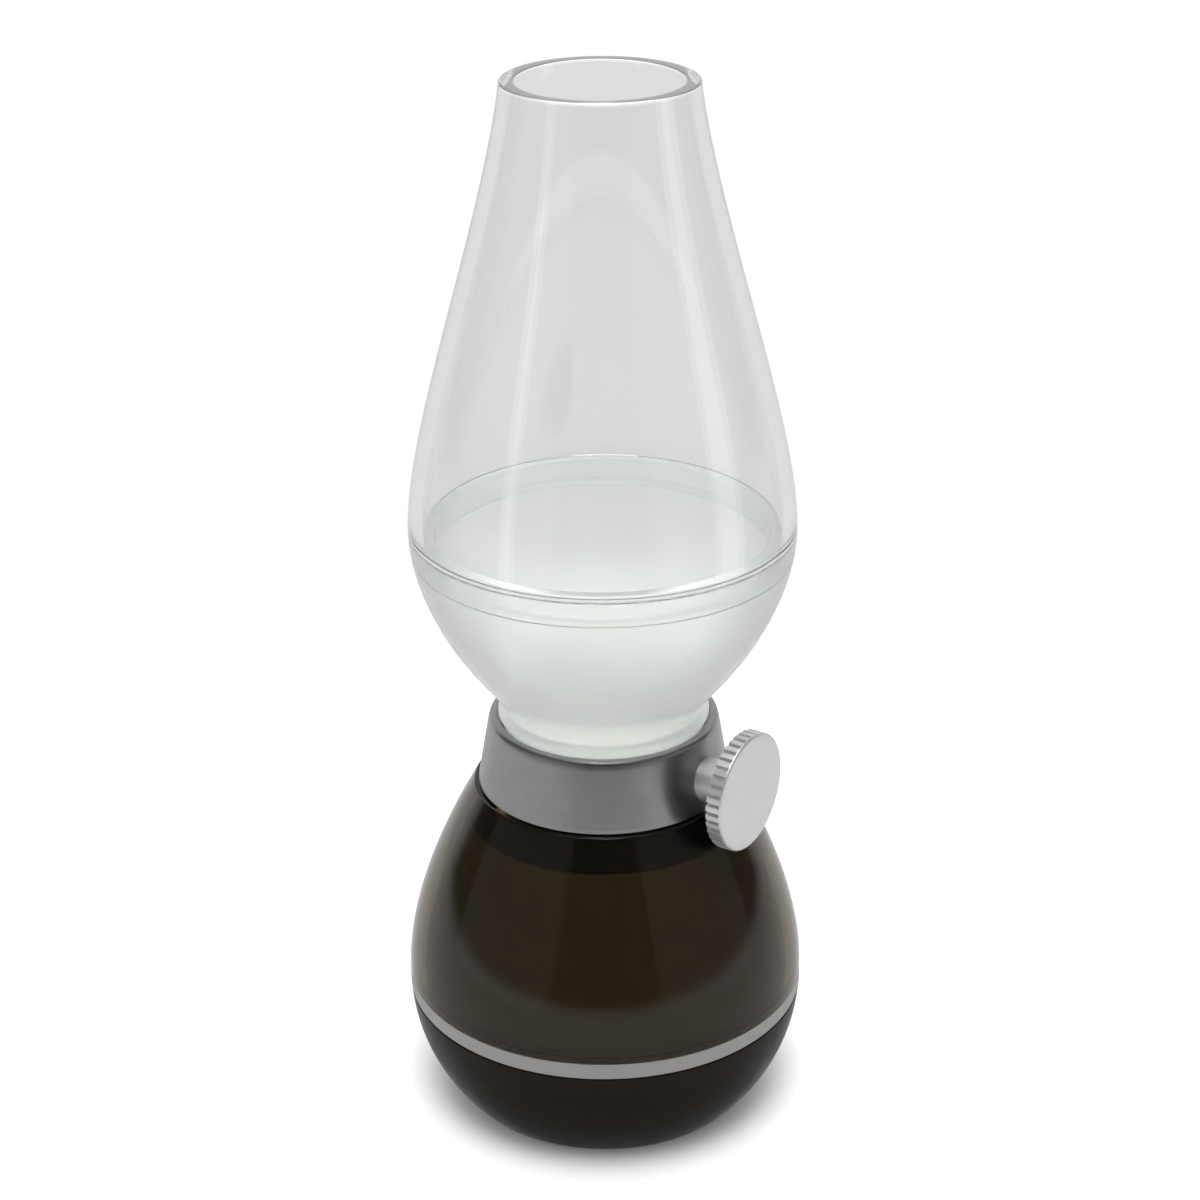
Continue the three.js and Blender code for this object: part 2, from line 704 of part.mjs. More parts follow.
function basePan() {
  const steps = 6;
  const outside = Array.from({ length: steps + 1 }, (_, i) => {
    const height = panBottomZ + (panHeight * i) / steps;
    return [panRadius(height), height];
  });
  const innerTopZ = panTopZ - 4;
  const spigotRootZ = innerTopZ + panWall;
  const inside = Array.from({ length: 4 }, (_, i) => {
    const height = innerTopZ + ((ledgeTopZ - innerTopZ) * i) / 3;
    return [panRadius(height, panWall), height];
  });
  const spigotBore = spigotRadius - panWall;
  const body = turned([
    [plateHoleRadius, panBottomZ],
    ...outside,
    [spigotRadius, panTopZ],
    [spigotRadius, spigotTopZ],
    [spigotBore, spigotTopZ],
    [spigotBore, spigotRootZ],
    ...inside,
    [ledgeInnerRadius, ledgeTopZ],
    [ledgeInnerRadius, ledgeBottomZ],
    [plateHoleRadius, ledgeBottomZ],
    [plateHoleRadius, panBottomZ],
  ]);
  const pillars = pillarPlaces.map((place) => {
    return movedTo(bar(pillarRadius, ledgeBottomZ, pillarHeight, 12), place.x, place.y);
  });
  const platePilots = platePlaces.map((place) => {
    return movedTo(bar(screwRadius + boreGap, ledgeBottomZ - cutMargin, pillarHeight, 8), place.x, place.y);
  });
  const boardPilots = boardPlaces.map((place) => {
    return movedTo(bar(screwRadius + boreGap, ledgeBottomZ + cutMargin, pillarHeight, 8), place.x, place.y);
  });
  const portHole = slotAlongY(
    socketWidth + 2 * slipGap,
    socketHeight + 2 * slipGap,
    socketMouthY - 4,
    baseRadius + cutMargin,
    socketZ,
  );
  const portPocket = slotAlongY(
    socketWidth + 2 * socketPocketMargin,
    socketHeight + 2 * socketPocketMargin,
    socketMouthY + slipGap,
    baseRadius + cutMargin,
    socketZ,
  );
  const pipeHole = new THREE.CylinderGeometry(pipeRadius + slipGap, pipeRadius + slipGap, 12, 16);
  pipeHole.translate(pipeX, socketMouthY, socketZ);
  return cut(join(body, ...pillars), ...platePilots, ...boardPilots, portHole, portPocket, pipeHole);
}

function basePlate() {
  const disc = bar(plateRadius, panBottomZ, plateThickness, shellFacets);
  const holeBottomZ = panBottomZ - cutMargin;
  const headRoom = screwHeadHeight + seatGap + cutMargin;
  const holes = platePlaces.flatMap((place) => [
    movedTo(bar(screwRadius + boreGap, holeBottomZ, plateThickness + 2 * cutMargin, 8), place.x, place.y),
    movedTo(bar(screwHeadRadius + slipGap, holeBottomZ, headRoom, 12), place.x, place.y),
  ]);
  return cut(disc, ...holes);
}

function footPad() {
  return ring(plateRadius - seatGap - padWidth, plateRadius - seatGap, 0, padThickness);
}

function ballastDisc() {
  const room = pillarCircle - pillarRadius - slipGap;
  const bottom = plateTopZ + seatGap;
  return bar(room, bottom, pillarTopZ - bottom - slipGap, 36);
}

function mainBoard() {
  const disc = bar(boardRadius, boardBottomZ, boardThickness, shellFacets);
  const holes = boardPlaces.map((place) => {
    const hole = bar(screwRadius + boreGap, boardBottomZ - cutMargin, boardThickness + 2 * cutMargin, 8);
    return movedTo(hole, place.x, place.y);
  });
  return cut(disc, ...holes);
}

/** A drawn metal sleeve, closed at the back, with the contact tongue standing in it. */
function chargeSocket() {
  const back = socketMouthY - socketLength;
  const floorY = back + 1.2;
  const sleeve = slotAlongY(socketWidth, socketHeight, back, socketMouthY, socketZ);
  const hollow = slotAlongY(
    socketWidth - 2 * socketSheet,
    socketHeight - 2 * socketSheet,
    floorY,
    socketMouthY + cutMargin,
    socketZ,
  );
  const tongue = block(
    [-tongueHalfWidth, floorY - socketSheet, socketZ - tongueThickness / 2],
    [tongueHalfWidth, socketMouthY - 0.9, socketZ + tongueThickness / 2],
  );
  return join(cut(sleeve, hollow), tongue);
}

function chargeLightPipe() {
  const start = chargeLedY + chargeLedSize[1] / 2 + 0.7;
  const pipe = new THREE.CylinderGeometry(pipeRadius, pipeRadius, pipeOuterY - start, 16);
  pipe.translate(pipeX, (pipeOuterY + start) / 2, socketZ);
  return pipe;
}

/** A shallow tray on four legs that stand on the board. */
function batteryTray() {
  const tray = roundedBlock(trayLength, trayWidth, trayThickness + trayWallHeight, 1.5, trayBottomZ);
  const well = roundedBlock(
    trayLength - 2 * trayThickness,
    trayWidth - 2 * trayThickness,
    trayWallHeight + cutMargin,
    0.8,
    trayFloorZ,
  );
  const legHeight = trayBottomZ - boardTopZ - seatGap;
  const legs = [-1, 1].flatMap((sideX) => [-1, 1].map((sideY) => {
    const leg = bar(trayLegRadius, boardTopZ + seatGap, legHeight + trayThickness / 2, 12);
    return movedTo(leg, sideX * trayLength * 0.2, sideY * (trayWidth / 2 - 3));
  }));
  return join(cut(tray, well), ...legs);
}

function batteryCell() {
  return roundedBlock(batteryLength, batteryWidth, batteryThickness, 2, batteryBottomZ, 4);
}

// ---------------------------------------------------------------- fasteners

/** A cross-head screw with its head down: the head starts at zero and the shank rises from it. */
function screw(length) {
  const body = turned([
    [0, 0],
    [screwHeadRadius - 0.3, 0],
    [screwHeadRadius, 0.35],
    [screwHeadRadius, screwHeadHeight],
    [screwRadius, screwHeadHeight],
    [screwRadius, screwHeadHeight + length - screwTip],
    [0, screwHeadHeight + length],
  ], 10);
  const reach = screwHeadRadius * 0.6;
  const half = screwSlot / 2;
  const slotTop = screwHeadHeight / 2;
  const slots = [
    block([-reach, -half, -cutMargin], [reach, half, slotTop]),
    block([-half, -reach, -cutMargin], [half, reach, slotTop]),
  ];
  return cut(body, ...slots);
}

// ---------------------------------------------------------------- assembly

const lamp = new THREE.Group();

function add(name, geometry, material, parent = lamp) {
  const mesh = new THREE.Mesh(geometry, material);
  mesh.name = name;
  parent.add(mesh);
  return mesh;
}

add('chimney_glass', chimneyGlass(), clearPlastic);
add('globe_bowl', globeBowl(), frostedPlastic);

const frame = neckFrame();
const liner = reservoirLiner(frame);
add('collar', collar(), satinSilver);
add('neck_frame', frame.geometry, blackPlastic);
add('neck_gasket', neckGasket(), whitePlastic);
add('led_board', ledBoard(), whitePlastic);
add('led_diffuser', ledDiffuser(), frostedPlastic);

const chipLift = ledBoardTopZ + seatGap;
add('blow_microphone', bar(microphoneRadius, chipLift, microphoneHeight), steel);
aroundCircle(ledCount, (microphoneRadius + ledBoardRadius - 3) / 2 + 0.8, Math.PI / 4).forEach((place, i) => {
  const chip = add(`led_${i + 1}`, roundedBlock(...ledSize, 0), ledYellow);
  chip.position.set(place.x, place.y, chipLift);
  chip.rotation.z = place.angle + Math.PI / 2;
});

const knob = new THREE.Group();
knob.position.set(knobBackX, 0, knobZ);
knob.rotation.y = Math.PI / 2;
lamp.add(knob);
add('knob_wheel', knobWheel(), brightSilver, knob);
add('dimmer_shaft', dimmerShaft(), steel, knob);
add('dimmer_body', dimmerBody(), steel);
add('dimmer_bush', dimmerBush(), steel);
add('dimmer_board', dimmerBoard(), boardGreen);

add('reservoir_shell', reservoirShell(), smokedPlastic);
add('reservoir_liner', liner.geometry, bronzePaint);
add('trim_ring', trimRing(), satinSilver);

add('base_pan', basePan(), umberPlastic);
add('base_plate', basePlate(), umberPlastic);
add('foot_pad', footPad(), blackRubber);
add('ballast_disc', ballastDisc(), steel);
add('battery_tray', batteryTray(), blackPlastic);
add('battery_cell', batteryCell(), cellWrap);

add('main_board', mainBoard(), boardGreen);
add('charge_socket', chargeSocket(), steel);
add('charge_light_pipe', chargeLightPipe(), clearPlastic);
const partLift = boardTopZ + seatGap;
const chargeLed = add('charge_led', roundedBlock(...chargeLedSize, 0), ledYellow);
chargeLed.position.set(pipeX, chargeLedY, partLift);
const inductor = add('power_inductor', roundedBlock(...inductorSize, 0), blackPlastic);
inductor.position.set(-7, 0, partLift);
const driverChip = add('driver_chip', roundedBlock(...driverSize, 0), blackPlastic);
driverChip.position.set(2, -3, partLift);
const plugX = 8;
const batteryPlug = add('battery_plug', roundedBlock(...plugSize, 0), whitePlastic);
const plugY = -trayWidth / 2 - plugSize[1] + 0.8;
batteryPlug.position.set(plugX, plugY, partLift);

const boardScrewLength = boardThickness + boardScrewBite;
platePlaces.forEach((place, i) => {
  const part = add(`plate_screw_${i + 1}`, screw(plateScrewLength), steel);
  part.position.set(place.x, place.y, panBottomZ);
});
boardPlaces.forEach((place, i) => {
  const part = add(`board_screw_${i + 1}`, screw(boardScrewLength), steel);
  part.position.set(place.x, place.y, boardTopZ + seatGap + screwHeadHeight);
  part.rotation.x = Math.PI;
});
const neckScrewSeatZ = liner.flangeBottomZ - seatGap;
aroundCircle(pillarPairs, frame.bossCircle, Math.PI / 6).forEach((place, i) => {
  const part = add(`neck_screw_${i + 1}`, screw(frame.pilotTopZ - slipGap - neckScrewSeatZ), steel);
  part.position.set(place.x, place.y, neckScrewSeatZ - screwHeadHeight);
});

// The battery's leads come off its front end and drop to the plug on the board.
[-1, 1].forEach((side) => {
  const name = side < 0 ? 'battery_lead_red' : 'battery_lead_black';
  const frontY = -trayWidth / 2;
  const plugTopZ = partLift + plugSize[2];
  const x = plugX + side * 1.3;
  const cellTopZ = batteryBottomZ + batteryThickness;
  const path = [
    [x, -batteryWidth / 2 + 2, cellTopZ + leadRadius + slipGap],
    [x, frontY, cellTopZ + leadRadius + 1.2],
    [x, frontY - 2.4, cellTopZ - 2.5],
    [x, plugY, plugTopZ + 4],
    [x, plugY, plugTopZ + slipGap],
  ];
  add(name, lead(path), side < 0 ? redWire : blackPlastic);
});

// The lamp leads rise from the board beside the tray and run up the neck to the board on top.
for (let i = 0; i < leadCount; i += 1) {
  const y = (i - (leadCount - 1) / 2) * 2.2;
  const besideX = -trayLength / 2 - leadRadius - 0.4;
  const neckX = -frameBoreRadius / 2;
  const path = [
    [besideX + 0.1, y, partLift + leadRadius],
    [besideX, y, trayBottomZ],
    [besideX, y, batteryBottomZ + batteryThickness],
    [(besideX + neckX) / 2, y, bandZ - 14],
    [neckX, y, bandZ - 2],
    [neckX, y, ledBoardBottomZ - slipGap],
  ];
  add(`lamp_lead_${i + 1}`, lead(path, leadRadius, 18), i % 2 ? blackPlastic : redWire);
}

export default lamp;
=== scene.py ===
"""Studio model of a rechargeable lantern in the form of an oil lamp.

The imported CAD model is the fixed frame. Each sub-assembly is a class that reads its levels and radii from
the CAD nodes' boxes, turns its own smooth surfaces and dresses them. Lengths are metres, +Z is up, the
origin is the middle of the foot, and +X runs out along the knob's axis.
"""
import logging
import math
from dataclasses import dataclass, field
from enum import Enum

import bpy
import numpy as np
from mathutils import Matrix, Vector


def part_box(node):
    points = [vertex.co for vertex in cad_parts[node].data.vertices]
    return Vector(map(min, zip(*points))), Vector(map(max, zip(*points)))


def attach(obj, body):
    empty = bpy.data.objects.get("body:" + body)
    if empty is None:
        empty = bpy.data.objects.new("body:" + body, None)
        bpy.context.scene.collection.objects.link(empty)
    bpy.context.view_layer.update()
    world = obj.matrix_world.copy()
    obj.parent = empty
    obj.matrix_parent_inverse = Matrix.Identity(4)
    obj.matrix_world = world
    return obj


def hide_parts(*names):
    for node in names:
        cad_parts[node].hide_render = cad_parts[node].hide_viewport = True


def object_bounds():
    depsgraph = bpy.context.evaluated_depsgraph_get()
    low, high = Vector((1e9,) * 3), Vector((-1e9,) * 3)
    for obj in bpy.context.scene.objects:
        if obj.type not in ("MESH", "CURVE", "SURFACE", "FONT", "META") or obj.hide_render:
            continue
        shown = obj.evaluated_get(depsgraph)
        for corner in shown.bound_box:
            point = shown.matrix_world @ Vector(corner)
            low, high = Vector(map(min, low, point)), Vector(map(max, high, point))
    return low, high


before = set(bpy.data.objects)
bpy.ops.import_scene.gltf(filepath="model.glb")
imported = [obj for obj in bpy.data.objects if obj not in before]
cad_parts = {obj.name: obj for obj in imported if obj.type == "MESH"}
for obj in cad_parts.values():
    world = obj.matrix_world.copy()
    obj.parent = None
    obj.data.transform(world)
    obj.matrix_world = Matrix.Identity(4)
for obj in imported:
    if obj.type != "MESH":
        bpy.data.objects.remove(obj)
CAD_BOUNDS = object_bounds()

log = logging.getLogger("lantern")

MM = 0.001
AROUND = 192
SLOT_STEPS = 64

Point = tuple[float, float]
Rows = np.ndarray
Piece = bpy.types.Object
Tree = bpy.types.NodeTree
Socket = bpy.types.NodeSocket
Node = bpy.types.Node


# ------------------------ outlines


def bezier(start: Point, pull_start: Point, pull_end: Point, end: Point, count: int) -> Rows:
    """A cubic curve B(t) = (1-t)^3 P0 + 3(1-t)^2 t P1 + 3(1-t) t^2 P2 + t^3 P3.

    Args:
        start, pull_start, pull_end, end: the four control points, as (radius, height).
        count: how many points to give.

    Returns:
        The points, one per row.
    """
    t = np.linspace(0.0, 1.0, count)[:, None]
    p0, p1, p2, p3 = (np.asarray(p, float) for p in (start, pull_start, pull_end, end))
    return (1 - t) ** 3 * p0 + 3 * (1 - t) ** 2 * t * p1 + 3 * (1 - t) * t ** 2 * p2 + t ** 3 * p3


def inset(points: Rows, distance: float) -> Rows:
    """Moves a rising outline towards the axis, each point along its own normal.

    Args:
        points: (radius, height) rows.
        distance: how far in.

    Returns:
        The moved rows, p + distance * (-dz, dr) / |(dr, dz)|.
    """
    along = np.gradient(points, axis=0)
    along /= np.linalg.norm(along, axis=1, keepdims=True)
    return points + distance * np.stack([-along[:, 1], along[:, 0]], axis=1)


def radius_at(points: Rows, height: float) -> float:
    """The radius of a rising outline at a height."""
    return float(np.interp(height, points[:, 1], points[:, 0]))


def between(points: Rows, low: float, high: float, count: int = 40) -> Rows:
    """The stretch of a rising outline between two heights, in even steps of height."""
    heights = np.linspace(low, high, count)
    return np.stack([np.interp(heights, points[:, 1], points[:, 0]), heights], axis=1)


def corner(radius: float, height: float, rounding: float = 0.0) -> Rows:
    """One corner of an outline, with the size of its rounding."""
    return np.array([[radius, height, rounding]])


def run(points: Rows) -> Rows:
    """A smooth stretch of an outline, with no rounding."""
    return np.column_stack([points, np.zeros(len(points))])


def outline(*parts: Rows, pitch: float = 0.0011, steps: int = 6, closed: bool = True) -> Rows:
    """Joins stretches and corners into one line, rounds the corners and splits the long edges.

    A corner c with neighbours a and b becomes (1-s)^2 a' + 2(1-s)s c + s^2 b', where a' and b' lie on the
    two edges at the rounding's distance from c, or half the edge if that is shorter.

    Args:
        parts: rows of (radius, height, rounding).
        pitch: the longest edge left unsplit.
        steps: how many edges a rounded corner gets.
        closed: whether the last point joins the first.

    Returns:
        The finished (radius, height) rows.
    """
    rows = np.vstack(parts)
    here, size = rows[:, :2], rows[:, 2:]
    before, after = np.roll(here, 1, 0), np.roll(here, -1, 0)
    if not closed:
        size = size.copy()
        size[[0, -1]] = 0
    back, ahead = before - here, after - here
    long_back = np.linalg.norm(back, axis=1, keepdims=True)
    long_ahead = np.linalg.norm(ahead, axis=1, keepdims=True)
    near = here + back * np.minimum(size / np.maximum(long_back, 1e-9), 0.5)
    far = here + ahead * np.minimum(size / np.maximum(long_ahead, 1e-9), 0.5)
    s = np.linspace(0, 1, steps + 1)[None, :, None]
    arcs = (1 - s) ** 2 * near[:, None] + 2 * (1 - s) * s * here[:, None] + s ** 2 * far[:, None]
    line = arcs.reshape(-1, 2)
    step = np.linalg.norm(np.diff(line, axis=0, append=line[:1] if closed else line[-1:] + 1), axis=1)
    line = line[step > 2e-6]
    ends = np.roll(line, -1, 0) if closed else line[1:]
    starts = line if closed else line[:-1]
    pieces = np.ceil(np.linalg.norm(ends - starts, axis=1) / pitch).astype(int)
    first = np.repeat(np.cumsum(pieces) - pieces, pieces)
    share = (np.arange(pieces.sum()) - first) / np.repeat(pieces, pieces)
    fine = np.repeat(starts, pieces, 0) + np.repeat(ends - starts, pieces, 0) * share[:, None]
    return fine if closed else np.vstack([fine, line[-1:]])


# ------------------------ meshes


class Spin(Enum):
    """The axis that an outline turns round."""

    UPRIGHT = "z"
    OUTWARD = "x"


def grid_faces(ids: Rows, wrap: bool) -> tuple[Rows, Rows]:
    """Faces of a grid of vertex numbers whose columns go right round.

    Args:
        ids: vertex numbers, one row per point of the outline. A pole's row repeats one number.
        wrap: whether the last row joins the first.

    Returns:
        The quads, and the triangles that meet at a pole.
    """
    low = ids if wrap else ids[:-1]
    high = np.roll(ids, -1, 0) if wrap else ids[1:]
    quads = np.stack([low, np.roll(low, -1, 1), np.roll(high, -1, 1), high], -1).reshape(-1, 4)
    foot, top = quads[:, 0] == quads[:, 1], quads[:, 2] == quads[:, 3]
    triangles = np.vstack([quads[foot][:, [0, 2, 3]], quads[top][:, [0, 1, 2]]])
    return quads[~foot & ~top], triangles


def mesh_object(name: str, points: Rows, quads: Rows, triangles: Rows,
                sharp: float = 40.0) -> Piece:
    """A smooth-shaded mesh object at the origin.

    Args:
        name: the piece's name.
        points: vertex positions, in metres.
        quads, triangles: faces, as rows of vertex numbers.
        sharp: the angle, in degrees, past which an edge stays crisp.

    Returns:
        The new object.
    """
    used, flat = np.unique(np.concatenate([quads.ravel(), triangles.ravel()]), return_inverse=True)
    quads, triangles = flat[:quads.size].reshape(-1, 4), flat[quads.size:].reshape(-1, 3)
    mesh = bpy.data.meshes.new(name)
    mesh.from_pydata(points[used].tolist(), [], quads.tolist() + triangles.tolist())
    mesh.shade_smooth()
    mesh.set_sharp_from_angle(angle=math.radians(sharp))
    mesh.update()
    piece = bpy.data.objects.new(name, mesh)
    bpy.context.scene.collection.objects.link(piece)
    return piece


def turned(name: str, line: Rows, closed: bool = True, around: int = AROUND,
           spin: Spin = Spin.UPRIGHT, centre: float = 0.0, relief: Rows | None = None,
           sharp: float = 40.0) -> Piece:
    """Turns an outline into a solid: p(i, a) = (r_i cos a, r_i sin a, z_i), with z along the spin axis.

    Args:
        name: the piece's name.
        line: (radius, height) rows, up the outside and down the inside.
        closed: whether the outline closes on itself. If not, both its ends are poles on the axis.
        around: how many steps make a full turn.
        spin: the axis to turn round.
        centre: the height of an outward axis.
        relief: lengths taken off the radius, one row per outline point and one column per step.
        sharp: the angle past which an edge stays crisp.

    Returns:
        The new object.
    """
    radius = np.repeat(line[:, :1], around, 1)
    if relief is not None:
        radius = radius - relief
    angle = np.arange(around) * 2 * np.pi / around
    along = np.repeat(line[:, 1:2], around, 1)
    across, third = radius * np.cos(angle), radius * np.sin(angle)
    if spin is Spin.UPRIGHT:
        points = np.stack([across, third, along], -1)
    else:
        points = np.stack([along, across, third + centre], -1)
    ids = np.arange(len(line) * around).reshape(len(line), around)
    poles = np.abs(line[:, 0]) < 1e-7
    ids[poles] = ids[poles][:, :1]
    quads, triangles = grid_faces(ids, closed)
    return mesh_object(name, points.reshape(-1, 3), quads, triangles, sharp)


def slot_bar(name: str, width: float, height: float, start: float, end: float,
             centre: tuple[float, float]) -> Piece:
    """A round-ended bar along Y, used as a cutter.

    Args:
        name: the cutter's name.
        width, height: its section. Its ends are half circles of half the height.
        start, end: where it begins and ends along Y.
        centre: its middle in X and Z.

    Returns:
        The new object.
    """
    turn = np.linspace(0, 2 * np.pi, SLOT_STEPS, endpoint=False)
    flat = max(width - height, 0) / 2
    x = centre[0] + height / 2 * np.cos(turn) + flat * np.sign(np.cos(turn))
    z = centre[1] + height / 2 * np.sin(turn)
    middle_x, middle_z = np.full(SLOT_STEPS, centre[0]), np.full(SLOT_STEPS, centre[1])
    near, far = np.full(SLOT_STEPS, start), np.full(SLOT_STEPS, end)
    rows = [np.stack(row, -1) for row in (
        (middle_x, near, middle_z), (x, near, z), (x, far, z), (middle_x, far, middle_z))]
    ids = np.arange(len(rows) * SLOT_STEPS).reshape(len(rows), SLOT_STEPS)
    ids[[0, 3]] = ids[[0, 3]][:, :1]
    quads, triangles = grid_faces(ids[::-1], False)
    return mesh_object(name, np.concatenate(rows), quads, triangles)


def carve(piece: Piece, *cutters: Piece, sharp: float = 30.0) -> Piece:
    """Cuts solids out of a piece for good, and removes the cutters.

    Args:
        piece: the piece to cut.
        cutters: closed solids.
        sharp: the angle past which an edge stays crisp.

    Returns:
        The same piece.
    """
    for cutter in cutters:
        modifier = piece.modifiers.new("carve", "BOOLEAN")
        modifier.operation, modifier.solver, modifier.object = "DIFFERENCE", "EXACT", cutter
    bpy.context.view_layer.update()
    cut = bpy.data.meshes.new_from_object(piece.evaluated_get(bpy.context.evaluated_depsgraph_get()))
    piece.modifiers.clear()
    piece.data = cut
    cut.shade_smooth()
    cut.set_sharp_from_angle(angle=math.radians(sharp))
    for cutter in cutters:
        bpy.data.objects.remove(cutter)
    return piece


# ------------------------ finishes


class Pattern(Enum):
    """The relief that a finish carries."""

    GRAIN = "even fine grain"
    BRUSHED = "fine lines round the upright axis"
    RIPPLE = "long soft moulding waves"
    TRACES = "copper runs under a lacquer"
    CREASED = "soft creases of a foil pouch"


def ramp(tree: Tree, value: Socket, span: Point, to: Point, smooth: bool = True) -> Socket:
    """Maps a value from one span to another, and holds it past both ends.

    Args:
        tree: the node tree.
        value: the value to map.
        span, to: the ends that it comes from and goes to.
        smooth: whether it eases in and out.

    Returns:
        The mapped value.
    """
    node = tree.nodes.new("ShaderNodeMapRange")
    if smooth:
        node.interpolation_type = "SMOOTHSTEP"
    for name, number in zip(("From Min", "From Max", "To Min", "To Max"), (*span, *to)):
        node.inputs[name].default_value = number
    tree.links.new(value, node.inputs["Value"])
    return node.outputs[0]


@dataclass(frozen=True)
class Finish:
    """A procedural finish: two near colours that drift, a roughness that drifts, and a fine relief.

    Attributes:
        name: the material's name.
        slot: the record's material slot; not used.
        color, shade: the two colours, linear.
        roughness: the two ends of the drifting roughness.
        metallic, specular, ior, transmission: shader constants.
        coat, coat_roughness: a clear top coat.
        pattern, scale, depth: the relief, its size per metre and its height.
        drift: the size per metre of the colour drift.
        absorb, density: the colour and strength of what the body takes from light inside it.
        scatter: how much of the body colour comes from light that wanders under the surface.
        glow: a painted glow, emission that stands in for light carried along the wall to its end: the height
            where it starts
        to grow, the height where it is full, and its strength at each.
        anisotropic: how far brushing stretches a highlight.
    """

    name: str
    slot: str
    color: tuple[float, float, float]
    shade: tuple[float, float, float]
    roughness: tuple[float, float] = (0.4, 0.5)
    metallic: float = 0.0
    specular: float = 0.5
    ior: float = 1.49
    transmission: float = 0.0
    coat: float = 0.0
    coat_roughness: float = 0.05
    pattern: Pattern = Pattern.GRAIN
    scale: float = 1800.0
    depth: float = 0.00002
    drift: float = 90.0
    absorb: tuple[float, float, float] | None = None
    density: float = 0.0
    scatter: float = 0.0
    glow: tuple[float, float, float, float] | None = None
    anisotropic: float = 0.0

    def material(self) -> bpy.types.Material:
        """The finish as a material, made once and then shared."""
        found = bpy.data.materials.get(self.name)
        if found:
            return found
        made = bpy.data.materials.new(self.name)
        made.use_nodes = True
        tree = made.node_tree
        shader = tree.nodes["Principled BSDF"]
        for socket, value in self._constants().items():
            shader.inputs[socket].default_value = value
        place = tree.nodes.new("ShaderNodeTexCoord").outputs["Object"]
        self._colour(tree, place, shader)
        self._roughness(tree, place, shader)
        self._relief(tree, place, shader)
        if self.absorb:
            body = tree.nodes.new("ShaderNodeVolumeAbsorption")
            body.inputs["Color"].default_value = (*self.absorb, 1)
            body.inputs["Density"].default_value = self.density
            tree.links.new(body.outputs[0], tree.nodes["Material Output"].inputs["Volume"])
        # A painted glow: emission on a part that is no lamp.
        if self.glow:
            self._paint_glow(tree, place, shader)
        made.diffuse_color = (*self.color, 1)
        return made

    def _constants(self) -> dict[str, float]:
        """Shader sockets whose value is the same all over."""
        return {
            "Metallic": self.metallic,
            "Specular IOR Level": self.specular,
            "IOR": self.ior,
            "Transmission Weight": self.transmission,
            "Coat Weight": self.coat,
            "Coat Roughness": self.coat_roughness,
            "Subsurface Weight": self.scatter,
            "Subsurface Radius": (1.0, 1.0, 1.0),
            "Subsurface Scale": 0.004,
            "Anisotropic": self.anisotropic,
        }

    def _noise(self, tree: Tree, place: Socket, scale: float,
               stretch: tuple[float, float, float] = (1, 1, 1), detail: float = 3.0) -> Socket:
        """Noise in object space.

        Args:
            tree: the node tree.
            place: the object coordinates.
            scale: cells per metre.
            stretch: extra scale along each axis.
            detail: octaves.

        Returns:
            The noise's value socket.
        """
        mapping = tree.nodes.new("ShaderNodeMapping")
        mapping.inputs["Scale"].default_value = stretch
        noise = tree.nodes.new("ShaderNodeTexNoise")
        noise.inputs["Scale"].default_value = scale
        noise.inputs["Detail"].default_value = detail
        tree.links.new(place, mapping.inputs["Vector"])
        tree.links.new(mapping.outputs[0], noise.inputs["Vector"])
        return noise.outputs[0]

    def _paint_glow(self, tree: Tree, place: Socket, shader: Node) -> None:
        """Paints a glow (emission) that ramps between two heights, standing in for light carried along the
        wall.
        """
        split = tree.nodes.new("ShaderNodeSeparateXYZ")
        tree.links.new(place, split.inputs[0])
        strength = ramp(tree, split.outputs["Z"], self.glow[:2], self.glow[2:])
        tree.links.new(strength, shader.inputs["Emission Strength"])
        shader.inputs["Emission Color"].default_value = (*self.color, 1)

    def _colour(self, tree: Tree, place: Socket, shader: Node) -> None:
        """Lets the base colour drift between the two colours."""
        blend = tree.nodes.new("ShaderNodeMix")
        blend.data_type = "RGBA"
        blend.inputs["A"].default_value = (*self.color, 1)
        blend.inputs["B"].default_value = (*self.shade, 1)
        factor = self._noise(tree, place, self.drift)
        if self.pattern is Pattern.TRACES:
            bricks = tree.nodes.new("ShaderNodeTexBrick")
            bricks.inputs["Scale"].default_value = self.scale
            bricks.inputs["Mortar Size"].default_value = 0.06
            tree.links.new(place, bricks.inputs["Vector"])
            factor = bricks.outputs["Fac"]
        tree.links.new(factor, blend.inputs["Factor"])
        tree.links.new(blend.outputs["Result"], shader.inputs["Base Color"])

    def _roughness(self, tree: Tree, place: Socket, shader: Node) -> None:
        """Lets the roughness drift between its two ends."""
        noise = self._noise(tree, place, self.drift * 2.3)
        spread = ramp(tree, noise, (0.3, 0.7), self.roughness, smooth=False)
        tree.links.new(spread, shader.inputs["Roughness"])

    def _relief(self, tree: Tree, place: Socket, shader: Node) -> None:
        """Adds the fine relief."""
        bump = tree.nodes.new("ShaderNodeBump")
        bump.inputs["Distance"].default_value = self.depth
        stretch = {
            Pattern.BRUSHED: (0.02, 0.02, 1),
            Pattern.RIPPLE: (1, 1, 0.35),
        }.get(self.pattern, (1, 1, 1))
        height = self._noise(tree, place, self.scale, stretch, 2.0)
        if self.pattern is Pattern.CREASED:
            cells = tree.nodes.new("ShaderNodeTexVoronoi")
            cells.inputs["Scale"].default_value = self.scale
            tree.links.new(place, cells.inputs["Vector"])
            height = cells.outputs["Distance"]
        tree.links.new(height, bump.inputs["Height"])
        tree.links.new(bump.outputs[0], shader.inputs["Normal"])


# The mouth's rim carries a painted glow (emission) over its last half millimetre, a painted highlight where
# light would leave the wall.
CHIMNEY_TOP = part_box("chimney_glass")[1].z
PAINTED_RIM_GLOW_START, PAINTED_RIM_GLOW_FULL = CHIMNEY_TOP - 0.6 * MM, CHIMNEY_TOP - 0.1 * MM

